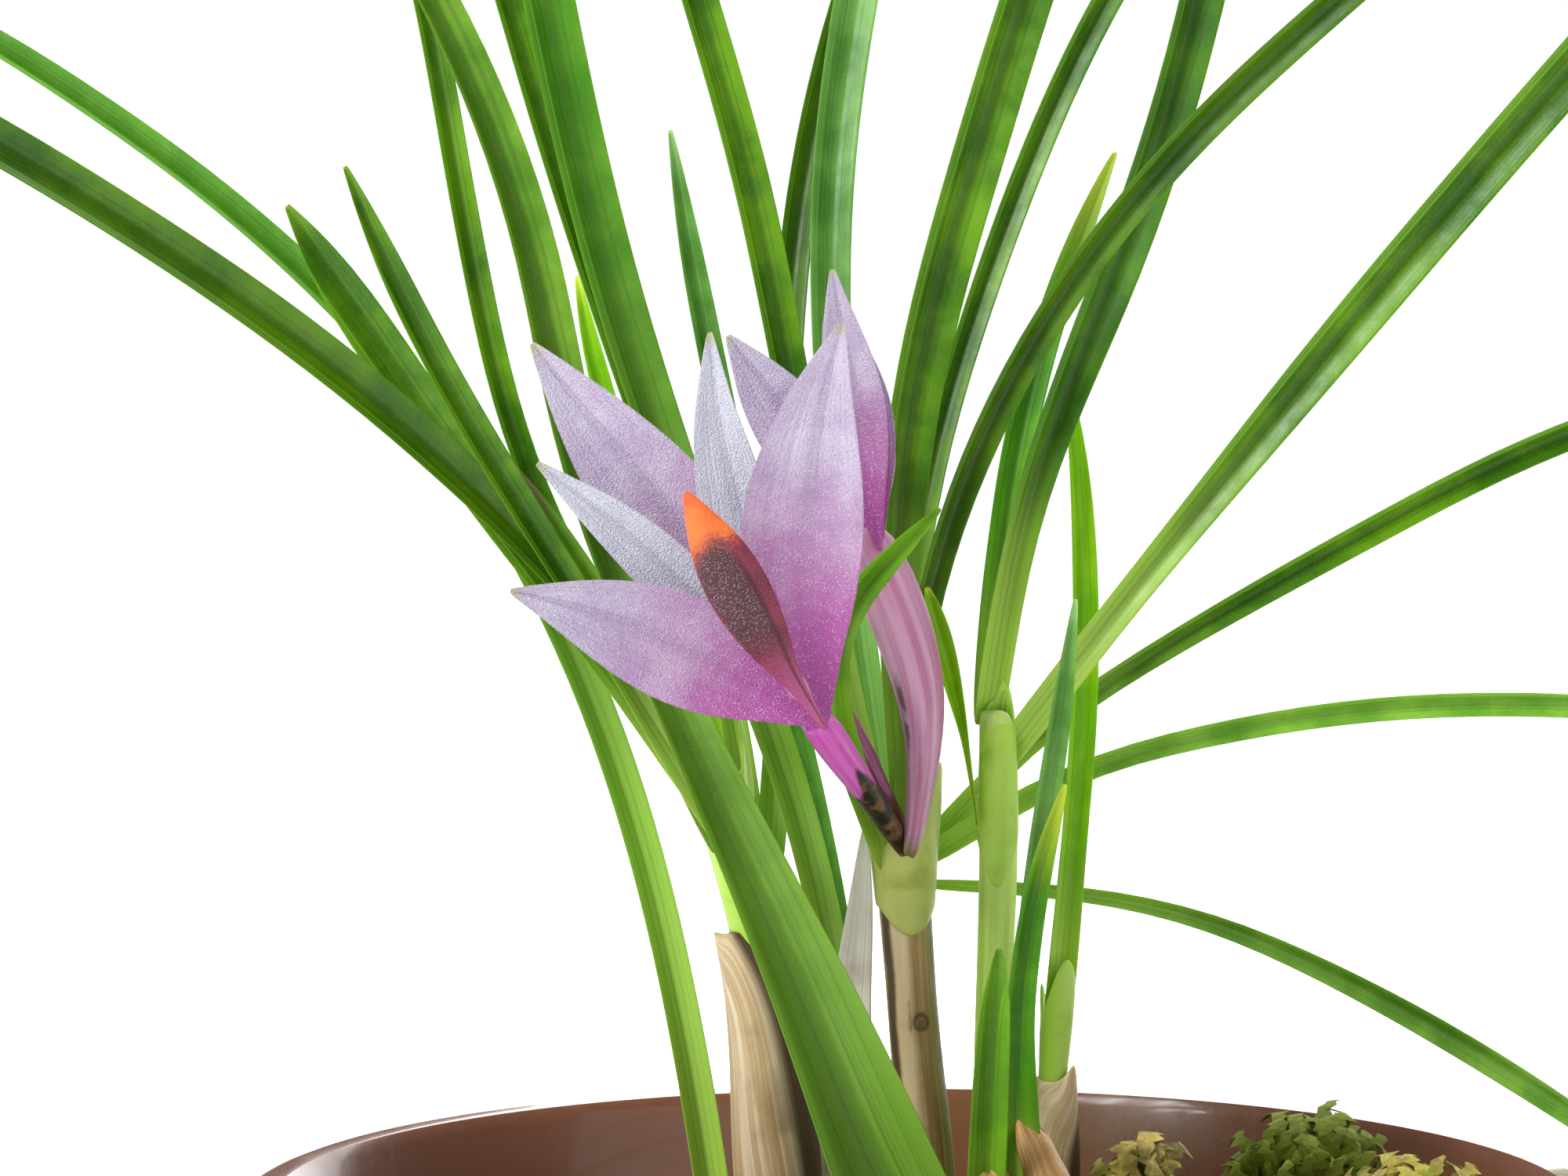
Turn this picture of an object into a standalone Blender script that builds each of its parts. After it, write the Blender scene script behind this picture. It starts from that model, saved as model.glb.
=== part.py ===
"""A miniature orchid in a round plastic pot.

Canes stand on a rhizome that lies on the potting mix. Narrow channelled leaves and two violet flowers
grow from them. The origin is the middle of the pot's underside, +Z up, and +Y is the plant's back.

Lengths in this file are millimetres until an object's mesh is written, which is in metres. A stem, a
leaf or a petal grows from its foot: its side lean is the angle from upright towards +X, its back lean
the angle towards +Y, and each may be a list of angles spaced evenly from foot to tip.
"""
import math
from collections import namedtuple

import bmesh
import bpy
from mathutils import Vector, noise

MM = 0.001
GAP = 0.3                     # clearance between pieces that touch
LEAF_THICKNESS = 0.5
LEAF_CHANNEL = 0.3            # rise of a leaf's edges as a share of its half width
TEPAL_THICKNESS = 0.4
TEPAL_STEPS = 9               # stretches along a petal
TEPAL_FULLNESS = 0.9          # below 1, a petal's sides are rounder than a sine's
LEAF_STEP = 7.5               # length of one stretch of a leaf
LEAST_LEAF_STEPS = 7
STEM_STEP = 4.0               # length of one stretch of a stem
LEAST_STEM_STEPS = 4
SLEEVE_STEPS = 5
GROWTH_SUBSTEPS = 6           # small moves in one stretch, so that a bend is smooth
SHEATH_WALL = 0.35
THIN_BELOW = 0.65             # half width under which a blade also gets thinner
TIP_HALF_WIDTH = 0.18         # blunt end of every blade
TEPAL_LAYER = 0.7             # depth from one layer of a flower to the next
TEPAL_STANDOFF = 1.4          # distance of a petal's foot from the middle of its flower

POT_HEIGHT = 66.0
RIM_RADIUS = 37.5
RIM_BAND_HEIGHT = 6.0
RIM_BAND_STEP = 1.0           # how far the band stands out from the wall
RIM_BAND_DRAFT = 0.3          # the band is this much narrower at its foot
RIM_LEDGE = 0.6               # height of the slope under the band, and of the one inside the rim
RIM_EDGE = 0.4                # bevel of the rim's edges
BASE_RADIUS = 27.0
BASE_EDGE = 0.8               # bevel round the underside
POT_WALL = 1.4
POT_FLOOR = 1.6
POT_SIDES = 48
STEM_SIDES = 10
SHEATH_SIDES = 12
DRAIN_RADIUS = 2.4
DRAIN_RING_RADIUS = 15.0
DRAIN_COUNT = 5
DRAIN_SIDES = 10
DRAIN_OVERSHOOT = 2.0         # how far the drill goes past the floor on both sides

MIX_TOP = 57.7                # highest lump of the potting mix
MIX_BUMP = 1.2                # depth of its hollows
MIX_LUMPS_PER_MM = 0.22
MIX_SIDES, MIX_RINGS = 28, 6
RHIZOME_FOOT_X, RHIZOME_FOOT_Y = -9.6, -1.0
RHIZOME_LENGTH = 19.5
RHIZOME_STEPS = 9
RHIZOME_RADIUS = 1.15
RHIZOME_KNOT = 0.2            # how much its joints swell
RHIZOME_KNOT_TURN = 1.9       # from one ring to the next, in radians of the swelling
RHIZOME_Z = MIX_TOP + GAP + RHIZOME_RADIUS + RHIZOME_KNOT

# colour, roughness
FINISHES = {
    "terracotta_plastic": ((0.16, 0.055, 0.03), 0.3),
    "bark_mix": ((0.09, 0.05, 0.025), 0.95),
    "moss": ((0.22, 0.24, 0.04), 0.95),
    "dry_leaf": ((0.45, 0.30, 0.12), 0.85),
    "rhizome_bark": ((0.20, 0.13, 0.05), 0.85),
    "cane_tan": ((0.40, 0.30, 0.15), 0.7),
    "stem_green": ((0.45, 0.62, 0.16), 0.5),
    "papery_sheath": ((0.60, 0.48, 0.28), 0.75),
    "leaf_green": ((0.07, 0.22, 0.03), 0.4),
    "leaf_fresh": ((0.30, 0.55, 0.03), 0.4),
    "sepal_violet": ((0.55, 0.38, 0.62), 0.45),
    "lip_crimson": ((0.25, 0.03, 0.06), 0.5),
    "flower_stalk": ((0.50, 0.15, 0.45), 0.45),
}

Leaf = namedtuple("Leaf", "name foot length side back widths turn tip finish")
Tepal = namedtuple("Tepal", "name layer side back length width belly cup turn finish")
Stem = namedtuple("Stem", "name foot length side back radii finish")
Sleeve = namedtuple("Sleeve", "name foot length side back radii")

GREEN, FRESH, VIOLET = "leaf_green", "leaf_fresh", "sepal_violet"
# how a leaf narrows: the share of its length that does, and how fast
POINTED, ROUNDED = (0.22, 1.0), (0.14, 0.45)

CANES = [
    Stem("left_cane", (-7.6, -1.0, 61.0), 26, (-4, -8, -9), (0,), (1.6, 1.8, 1.4, 0.9, 0.85), "stem_green"),
    Stem("left_back_cane", (-6.2, 5.6, 61.0), 23, (-8, -12, -9), (0,), (1.2, 1.5, 1.2, 0.9), "stem_green"),
    Stem("centre_cane", (1.0, 1.0, 61.0), 23, (-8, -5, -4), (0,), (1.45, 1.6, 1.45, 1.6), "cane_tan"),
    Stem("right_stem", (3.6, 0.2, 61.0), 31, (0, 2, -1), (-2,), (0.9, 1.0, 1.1, 1.1), "stem_green"),
    Stem("back_right_cane", (7.2, 1.8, 61.0), 13, (-3, 4), (0,), (1.2, 1.0, 0.7), "stem_green"),
]

SHEATHS = [
    Sleeve("left_papery_sheath", (-7.6, -1.0, 61.6), 18, (-4, -7, -9), (0,), (2.2, 2.6, 2.2, 1.5)),
    Sleeve("right_papery_sheath", (7.2, 1.8, 61.6), 10, (-3, 3), (0,), (1.9, 1.8, 1.35)),
]

LEAVES = [
    # from the potting mix
    Leaf("front_broad_leaf", (0.9, -11.4, 60.0), 100, (-22, -21, -25, -26, -23, -7, -20, -30, -33, -36),
         (7, 6, 2), (8.0, 6.4, 4.2, 2.8, 2.9, 2.9, 2.7, 2.6, 2.6), (12, 25), POINTED, GREEN),
    Leaf("left_far_leaf", (-10.8, 3.0, 58.4), 110, (-7, -13, -29, -49, -60, -68), (8,),
         (2.4, 2.4, 2.0, 1.8), (15, 20), POINTED, GREEN),
    Leaf("broad_tall_leaf", (-2.6, 4.7, 58.4), 120, (-5, -8, -22, -19, -12, -10, -8, -4), (0, 2),
         (2.0, 2.4, 3.4, 3.8, 3.4), (10, 20), POINTED, GREEN),
    Leaf("thin_middle_leaf", (-2.0, 8.2, 58.4), 70, (-4, -10, -14, -12, -9), (10, 14),
         (1.7, 2.0, 1.9), (5, 15), ROUNDED, GREEN),
    Leaf("front_shoot", (2.7, -8.0, 58.4), 22, (2, 3), (-4,), (2.2, 2.5, 2.0), (5, 5), ROUNDED, FRESH),
    # dry white sheath beside the centre cane
    Leaf("centre_white_sheath", (-4.3, 0.2, 62.0), 24, (-1, 3, 5), (0,),
         (1.9, 2.0, 1.3), (5, 5), POINTED, "papery_sheath"),
    # from the left canes
    Leaf("left_long_leaf", (-11.2, -3.2, 86.0), 90, (-22, -44, -54, -60, -68, -74), (-5,),
         (1.5, 2.9, 3.1, 2.8), (12, 25), POINTED, GREEN),
    Leaf("left_round_leaf", (-11.8, 1.2, 87.0), 41.5, (-36, -37, -33), (8,),
         (1.4, 3.1, 3.3), (8, 8), ROUNDED, GREEN),
    Leaf("left_pointed_leaf", (-11.6, -4.7, 87.0), 40, (-31, -32, -22), (-3,),
         (1.2, 2.1, 1.8), (10, 20), ROUNDED, GREEN),
    Leaf("left_back_tall_leaf", (-10.4, 6.4, 84.4), 80, (-32, -32, -12, -10, -19, -24), (14,),
         (1.2, 1.9, 1.9, 1.7), (10, 20), POINTED, GREEN),
    Leaf("thin_tall_leaf", (-9.6, 7.4, 84.4), 80, (-4, -20, -19, -16, -18, -20), (6, 9),
         (1.2, 2.1, 2.1, 1.9), (8, 15), POINTED, GREEN),
    Leaf("young_back_leaf", (-9.6, 8.6, 84.4), 35, (-19, -20, -18, -10), (14,),
         (1.1, 1.7, 1.4), (5, 5), ROUNDED, FRESH),
    Leaf("dark_back_leaf", (-8.4, 5.8, 84.4), 80, (4, 0, 3, 15, 22, 30), (23,),
         (1.2, 2.2, 2.4, 2.2), (10, 10), POINTED, GREEN),
    Leaf("browned_tip_leaf", (-11.2, 3.0, 86.6), 23, (-28, -32, -36), (15,),
         (1.0, 1.5, 1.2), (5, 5), POINTED, GREEN),
    # from the centre cane
    Leaf("front_crossing_leaf", (-0.8, -0.4, 84.6), 80, (-5, 13, 29, 42, 50, 53, 57), (-2, -9, -12),
         (1.2, 2.2, 2.3, 2.1), (8, 20), POINTED, GREEN),
    Leaf("middle_tall_leaf", (-2.2, 1.0, 84.6), 75, (-14, -10, -10, -18, -14, -8), (2, 5),
         (1.1, 2.5, 2.5, 2.2), (5, 15), POINTED, GREEN),
    Leaf("front_upright_leaf", (-0.8, 1.2, 84.6), 75, (-5, -1, 11, 18, 18, 20, 23), (0, -4),
         (1.1, 3.2, 3.5, 3.4, 3.0), (5, 15), POINTED, GREEN),
    Leaf("right_back_tall_leaf", (-0.6, 2.2, 84.6), 85, (-3, 3, 17, 20, 28, 38, 46, 52), (12,),
         (1.1, 2.0, 2.0, 1.8), (5, 15), POINTED, GREEN),
    Leaf("pale_back_leaf", (-1.6, 3.0, 84.6), 85, (-9, -8, 1, 11, 15, 18), (16,),
         (1.1, 2.8, 3.2, 3.0), (5, 10), POINTED, GREEN),
    Leaf("right_arching_leaf", (0.6, 3.0, 84.6), 70, (34, 56, 60, 62, 62, 70, 78, 85, 92), (7,),
         (1.0, 1.9, 2.0, 1.7), (5, 15), POINTED, GREEN),
    Leaf("right_low_leaf", (1.4, 2.0, 84.6), 55, (48, 74, 78, 84, 90, 95, 100, 108), (8, 0, -4),
         (1.0, 1.6, 1.7, 1.4), (5, 15), POINTED, GREEN),
    Leaf("right_drooping_leaf", (1.6, 2.8, 82.2), 55, (88, 103, 114, 120, 123, 126, 128), (16,),
         (0.8, 1.2, 1.8, 1.9, 1.5), (5, 10), POINTED, GREEN),
    Leaf("small_front_leaf", (-2.3, -0.9, 84.6), 24, (-20, -20, 0, 45, 42), (-30, -24),
         (0.9, 1.6, 1.9, 1.6), (5, 5), POINTED, FRESH),
    # from the right stem
    Leaf("right_tall_leaf", (3.6, -0.4, 92.6), 70, (4, 17, 24, 18, 13, 9, 5, 1), (0,),
         (1.2, 3.0, 3.1, 2.8), (5, 15), POINTED, GREEN),
    Leaf("right_broad_leaf", (5.7, -1.2, 91.4), 75, (37, 39, 40, 41, 42, 45), (0, -4),
         (1.2, 3.2, 3.4, 3.2), (5, 10), POINTED, GREEN),
    Leaf("yellow_tip_leaf", (3.6, 1.0, 92.6), 32, (4, 6, 14, 19, 26), (8,),
         (1.2, 2.2, 2.0, 1.6), (5, 5), POINTED, GREEN),
    Leaf("stem_left_leaf", (2.5, -2.0, 88.4), 11, (-8, -14, -16), (0,),
         (0.8, 1.8, 1.4), (5, 5), POINTED, FRESH),
    # from the back right cane and the shoots beside it
    Leaf("yellow_upright_leaf", (7.4, 1.6, 74.4), 37, (6, 5, 4, 0, -5, -9), (0,),
         (1.1, 1.8, 1.7, 1.4), (5, 5), POINTED, FRESH),
    Leaf("blue_green_leaf", (4.9, -3.0, 66.0), 33, (0, 3, 7, 9, 5), (-4,),
         (1.2, 1.7, 1.5), (5, 5), POINTED, GREEN),
    Leaf("sheathing_leaf", (4.8, -5.6, 66.0), 23, (-1, 2, 9, 20), (-2,),
         (2.0, 1.9, 1.4), (5, 5), POINTED, FRESH),
]

FRONT_FLOWER_FOOT = (-5.6, -11.2, 92.2)
FRONT_FLOWER = [
    Tepal("front_dorsal_sepal", 0, (-38, -37), (9, 2), 25.4, 7.4, 0.9, 0.12, 5, VIOLET),
    Tepal("front_left_petal", 1, (-44, -52), (4, -2), 20.4, 4.0, 0.9, 0.15, 0, VIOLET),
    Tepal("front_upper_petal", 2, (-30, -14, -3), (1, -3), 21.6, 4.6, 0.9, 0.15, 0, VIOLET),
    Tepal("front_left_sepal", 3, (-58, -76), (-4, -10), 18.0, 7.0, 0.8, 0.15, 0, VIOLET),
    Tepal("front_right_sepal", 4, (-14, 6, 18), (-5, -6), 21.4, 7.6, 0.85, 0.15, 0, VIOLET),
    Tepal("front_column", 5, (-33,), (-12, -8), 5.0, 1.4, 0.8, 0.1, 0, "flower_stalk"),
    Tepal("front_lip", 6, (-33, -26), (-22, -12), 15.0, 3.9, 1.2, -0.35, 0, "lip_crimson"),
]

BACK_FLOWER_FOOT = (-2.6, -3.7, 101.2)
BACK_FLOWER = [
    Tepal("back_lip", 0, (-8,), (20, 24), 8.0, 3.2, 0.9, 0.2, 0, "lip_crimson"),
    Tepal("back_left_petal", 1, (-28,), (12, 16), 11.0, 2.8, 0.9, 0.15, 0, VIOLET),
    Tepal("back_right_petal", 2, (-4,), (9, 12), 10.0, 3.0, 0.9, 0.15, 0, VIOLET),
    Tepal("back_left_sepal", 3, (-36,), (4, 7), 14.2, 5.0, 0.85, 0.15, 0, VIOLET),
    Tepal("back_right_sepal", 4, (-8,), (1, 4), 12.8, 4.2, 0.85, 0.15, 0, VIOLET),
    Tepal("back_dorsal_sepal", 5, (-10,), (-5, 2), 15.2, 3.9, 0.85, 0.15, 0, VIOLET),
]

FLOWER_STALKS = [
    Stem("front_ovary", (-1.5, -2.2, 85.3), 11.7, (-32,), (-47, -50), (0.45, 0.5, 0.7, 0.85),
         "flower_stalk"),
    Stem("back_ovary", (-0.7, -2.6, 85.5), 15.4, (14, 4, -10, -20, -24), (-12, -6),
         (0.5, 0.9, 1.4, 1.8, 1.7), "flower_stalk"),
    Stem("side_stalk", (-1.8, -1.6, 86.8), 6.2, (-24, -28), (-12,), (0.35, 0.45, 0.4), "flower_stalk"),
]

TUFT_LUMP = 0.22              # how much a tuft's surface swells, as a share of its size
TUFT_LUMP_RATE = 2.1
# centre, half widths
TUFTS = {
    "moss_right": ((27.4, 2.0, 62.6), (5.2, 6.0, 4.2)),
    "moss_back": ((23.0, 17.4, 62.6), (5.2, 4.8, 4.2)),
    "moss_small": ((11.6, -3.2, 64.0), (2.1, 2.3, 5.4)),
}

SCRAP_FOOT = (13.0, 7.0, 61.4)
SCRAP_LENGTH, SCRAP_WIDTH = 9, 3.8
SCRAP_FULLNESS = 0.7
SCRAP_CURL = 0.35             # rise of its edges as a share of its half width


def clear_scene():
    for item in list(bpy.data.objects):
        bpy.data.objects.remove(item, do_unlink=True)


def finish(name):
    material = bpy.data.materials.get(name)
    if material:
        return material
    colour, roughness = FINISHES[name]
    material = bpy.data.materials.new(name)
    material.use_nodes = True
    shader = material.node_tree.nodes["Principled BSDF"]
    shader.inputs["Base Color"].default_value = (*colour, 1)
    shader.inputs["Roughness"].default_value = roughness
    shader.inputs["Metallic"].default_value = 0
    return material


def add_object(name, shape, finish_name):
    """Write a millimetre bmesh to a new object, its faces pointing out."""
    bmesh.ops.recalc_face_normals(shape, faces=shape.faces)
    bmesh.ops.scale(shape, vec=(MM, MM, MM), verts=shape.verts)
    mesh = bpy.data.meshes.new(name)
    shape.to_mesh(mesh)
    shape.free()
    mesh.shade_smooth()
    mesh.set_sharp_from_angle(angle=math.radians(40))
    mesh.materials.append(finish(finish_name))
    item = bpy.data.objects.new(name, mesh)
    bpy.context.scene.collection.objects.link(item)
    return item


def spread(values, t):
    """The value at t of a list spaced evenly from 0 to 1."""
    if len(values) == 1:
        return values[0]
    place = min(max(t, 0), 1) * (len(values) - 1)
    low = min(int(place), len(values) - 2)
    return values[low] + (values[low + 1] - values[low]) * (place - low)


def direction(side, back):
    """The way a stem grows when it leans by these two angles, in degrees."""
    lean, away = math.radians(side), math.radians(back)
    return Vector((math.sin(lean) * math.cos(away), math.sin(away), math.cos(lean) * math.cos(away)))


def grow(foot, length, side, back, steps):
    """Points and directions of a stem that leans as side and back say."""
    point = Vector(foot)
    points, directions = [], []
    moves = steps * GROWTH_SUBSTEPS
    for i in range(moves + 1):
        along = direction(spread(side, i / moves), spread(back, i / moves))
        if i % GROWTH_SUBSTEPS == 0:
            points.append(point.copy())
            directions.append(along)
        point += along * length / moves
    return points, directions


def skin(shape, rings, ends="fan"):
    """Join rings of points with faces, and close both ends with a fan, or across a thin blade."""
    rows = [[shape.verts.new(p) for p in ring] for ring in rings]
    count = len(rows[0])
    for lower, upper in zip(rows, rows[1:]):
        for i in range(count):
            j = (i + 1) % count
            shape.faces.new((lower[i], lower[j], upper[j], upper[i]))
    for row in (rows[0], rows[-1]):
        if ends == "fan":
            hub = shape.verts.new(sum((v.co for v in row), Vector()) / count)
            for i in range(count):
                shape.faces.new((row[i], row[(i + 1) % count], hub))
        if ends == "blade":
            for corners in ((0, 1, 7), (1, 2, 6, 7), (2, 3, 5, 6), (3, 4, 5)):
                shape.faces.new([row[i] for i in corners])
    return rows


def across_axes(along):
    """Two axes square to a growing direction: one in the XZ plane, one towards the back."""
    level = Vector((0, 1, 0)).cross(along).normalized()
    return level, along.cross(level).normalized()


def blade(name, foot, length, side, back, half_width, thickness, cup, turn, steps, finish_name):
    """A leaf or petal: half_width(t) across, edges raised by cup of that, turned on its own length."""
    points, directions = grow(foot, length, side, back, steps)
    stations = (-1, -0.5, 0, 0.5, 1)
    rings = []
    for i, (point, along) in enumerate(zip(points, directions)):
        t = i / steps
        level, away = across_axes(along)
        angle = math.radians(spread(turn, t))
        across = level * math.cos(angle) + away * math.sin(angle)
        up = across.cross(along).normalized()
        half = half_width(t)
        lift = cup * half
        thick = thickness * min(1, half + 1 - THIN_BELOW)
        top = [point + across * half * s + up * lift * s * s for s in stations]
        under = [point + across * half * s + up * (lift * s * s - thick * (1 - s * s))
                 for s in stations[-2:0:-1]]
        rings.append(top + under)
    shape = bmesh.new()
    skin(shape, rings, ends="blade")
    add_object(name, shape, finish_name)


def leaf(row):
    """A grassy leaf: even along most of its length, then narrowing to its tip."""
    tip_share, tip_power = row.tip

    def half_width(t):
        narrowing = math.sin(math.pi / 2 * min(1, (1 - t) / tip_share)) ** tip_power
        return max(TIP_HALF_WIDTH, spread(row.widths, t) / 2 * narrowing)

    steps = max(LEAST_LEAF_STEPS, round(row.length / LEAF_STEP))
    blade(row.name, row.foot, row.length, row.side, row.back, half_width, LEAF_THICKNESS, LEAF_CHANNEL,
          row.turn, steps, row.finish)


def tepal(row, foot):
    """A sepal or petal: narrow where it joins, widest further out as belly grows, drawn to a point."""
    start = Vector(foot) - Vector((0, row.layer * TEPAL_LAYER, 0))
    start += direction(row.side[0], row.back[0]) * TEPAL_STANDOFF

    def half_width(t):
        swell = math.sin(math.pi * t ** row.belly) ** TEPAL_FULLNESS if 0 < t < 1 else 0
        return max(TIP_HALF_WIDTH, row.width / 2 * swell)

    blade(row.name, start, row.length - TEPAL_STANDOFF, row.side, row.back, half_width, TEPAL_THICKNESS,
          row.cup, (row.turn,), TEPAL_STEPS, row.finish)


def stem(row):
    steps = max(LEAST_STEM_STEPS, round(row.length / STEM_STEP))
    points, directions = grow(row.foot, row.length, row.side, row.back, steps)
    rings = [circle(p, d, spread(row.radii, i / steps), STEM_SIDES)
             for i, (p, d) in enumerate(zip(points, directions))]
    shape = bmesh.new()
    skin(shape, rings)
    add_object(row.name, shape, row.finish)


def circle(centre, along, radius, sides):
    level, away = across_axes(along)
    return [centre + radius * (level * math.cos(2 * math.pi * k / sides)
                               + away * math.sin(2 * math.pi * k / sides)) for k in range(sides)]


def sleeve(row):
    """A dry sheath round a cane: a thin tube open at both ends."""
    points, directions = grow(row.foot, row.length, row.side, row.back, SLEEVE_STEPS)
    radii = [spread(row.radii, i / SLEEVE_STEPS) for i in range(SLEEVE_STEPS + 1)]
    outer = [circle(p, d, r, SHEATH_SIDES) for p, d, r in zip(points, directions, radii)]
    inner = [circle(p, d, r - SHEATH_WALL, SHEATH_SIDES) for p, d, r in zip(points, directions, radii)]
    shape = bmesh.new()
    rows = skin(shape, outer + inner[::-1], ends="open")
    for k in range(SHEATH_SIDES):
        j = (k + 1) % SHEATH_SIDES
        shape.faces.new((rows[-1][k], rows[-1][j], rows[0][j], rows[0][k]))
    add_object(row.name, shape, "papery_sheath")


def turned(name, profile, sides, finish_name):
    """A closed turned body from (radius, height) points that start and end on the axis."""
    shape = bmesh.new()
    middle = [[Vector((r * math.cos(a), r * math.sin(a), z))
               for a in (2 * math.pi * k / sides for k in range(sides))] for r, z in profile[1:-1]]
    rows = skin(shape, middle, ends="open")
    for row, (_, height) in ((rows[0], profile[0]), (rows[-1], profile[-1])):
        hub = shape.verts.new((0, 0, height))
        for k in range(sides):
            shape.faces.new((row[k], row[(k + 1) % sides], hub))
    return add_object(name, shape, finish_name)


def outer_radius(height):
    """The pot's outside below its rim band."""
    top = RIM_RADIUS - RIM_BAND_STEP
    return BASE_RADIUS + (top - BASE_RADIUS) * height / POT_HEIGHT


def pot():
    band_foot = POT_HEIGHT - RIM_BAND_HEIGHT
    profile = [
        (0, 0), (BASE_RADIUS - BASE_EDGE, 0), (BASE_RADIUS, BASE_EDGE),
        (outer_radius(band_foot - RIM_LEDGE), band_foot - RIM_LEDGE),
        (RIM_RADIUS - RIM_BAND_DRAFT, band_foot),
        (RIM_RADIUS, POT_HEIGHT - RIM_EDGE), (RIM_RADIUS - RIM_EDGE, POT_HEIGHT),
        (outer_radius(POT_HEIGHT) - POT_WALL + RIM_EDGE, POT_HEIGHT),
        (outer_radius(POT_HEIGHT - RIM_LEDGE) - POT_WALL, POT_HEIGHT - RIM_LEDGE),
        (outer_radius(POT_FLOOR) - POT_WALL, POT_FLOOR), (0, POT_FLOOR),
    ]
    body = turned("pot", profile, POT_SIDES, "terracotta_plastic")
    drill = bmesh.new()
    for k in range(DRAIN_COUNT):
        angle = 2 * math.pi * k / DRAIN_COUNT
        hole = Vector((math.cos(angle), math.sin(angle), 0)) * DRAIN_RING_RADIUS
        ends = [hole + Vector((0, 0, z)) for z in (-DRAIN_OVERSHOOT, POT_FLOOR + DRAIN_OVERSHOOT)]
        skin(drill, [circle(end, Vector((0, 0, 1)), DRAIN_RADIUS, DRAIN_SIDES) for end in ends])
    cutter = add_object("drain_cutter", drill, "terracotta_plastic")
    cutter.hide_render = True
    cutter.display_type = "WIRE"
    cut = body.modifiers.new("drain holes", "BOOLEAN")
    cut.operation = "DIFFERENCE"
    cut.solver = "EXACT"
    cut.object = cutter


def potting_mix():
    """Fills the pot to MIX_TOP, with a lumpy top."""
    floor = POT_FLOOR + GAP
    angles = [2 * math.pi * k / MIX_SIDES for k in range(MIX_SIDES)]
    floor_radius = outer_radius(floor) - POT_WALL - GAP
    top_radius = outer_radius(MIX_TOP) - POT_WALL - 2 * GAP
    rows = [[Vector((floor_radius * math.cos(a), floor_radius * math.sin(a), floor)) for a in angles]]
    for ring in range(MIX_RINGS):
        radius = top_radius * (1 - ring / MIX_RINGS)
        row = [Vector((radius * math.cos(a), radius * math.sin(a), MIX_TOP - MIX_BUMP / 2)) for a in angles]
        for point in row:
            point.z += noise.noise(point * MIX_LUMPS_PER_MM) * MIX_BUMP / 2
        rows.append(row)
    shape = bmesh.new()
    skin(shape, rows)
    add_object("potting_mix", shape, "bark_mix")


def rhizome():
    """The creeping stem that the canes stand on, lying on the potting mix."""
    foot = (RHIZOME_FOOT_X, RHIZOME_FOOT_Y, RHIZOME_Z)
    points, directions = grow(foot, RHIZOME_LENGTH, (90,), (8, 14), RHIZOME_STEPS)
    radii = [RHIZOME_RADIUS + RHIZOME_KNOT * math.sin(i * RHIZOME_KNOT_TURN) for i in range(len(points))]
    rings = [circle(p, d, r, STEM_SIDES) for p, d, r in zip(points, directions, radii)]
    shape = bmesh.new()
    skin(shape, rings)
    add_object("rhizome", shape, "rhizome_bark")


def tuft(name, centre, half_widths):
    """A lumpy cushion of moss."""
    shape = bmesh.new()
    bmesh.ops.create_icosphere(shape, subdivisions=2, radius=1)
    for vertex in shape.verts:
        swell = 1 + TUFT_LUMP * noise.noise(vertex.co * TUFT_LUMP_RATE + Vector(centre))
        vertex.co = Vector(centre) + Vector([a * b * swell for a, b in zip(vertex.co, half_widths)])
    add_object(name, shape, "moss")


def dry_leaf_scrap():
    """A curled scrap of dead leaf on the potting mix."""
    def half_width(t):
        return max(TIP_HALF_WIDTH, SCRAP_WIDTH / 2 * math.sin(math.pi * t) ** SCRAP_FULLNESS)

    blade("dry_leaf_scrap", SCRAP_FOOT, SCRAP_LENGTH, (58, 76, 92), (-8, 6), half_width, TEPAL_THICKNESS,
          SCRAP_CURL, (20, 50), LEAST_LEAF_STEPS, "dry_leaf")


def main():
    clear_scene()
    pot()
    potting_mix()
    rhizome()
    for row in CANES + FLOWER_STALKS:
        stem(row)
    for row in SHEATHS:
        sleeve(row)
    for row in LEAVES:
        leaf(row)
    for row in FRONT_FLOWER:
        tepal(row, FRONT_FLOWER_FOOT)
    for row in BACK_FLOWER:
        tepal(row, BACK_FLOWER_FOOT)
    for name, (centre, half_widths) in TUFTS.items():
        tuft(name, centre, half_widths)
    dry_leaf_scrap()


main()
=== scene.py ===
"""The looks of a potted miniature orchid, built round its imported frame.

Lengths are metres, as in the frame; MM turns a size in millimetres into metres. A blade is a leaf, a sepal,
a petal or a lip: its UV map runs across it in U, from its left edge at 0 to its right edge at 1, and along it
in V, from its foot at 0 to its tip at 1.
"""
import contextlib
import math
import random

import bmesh
import bpy
import numpy as np
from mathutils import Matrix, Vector, noise


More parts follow.
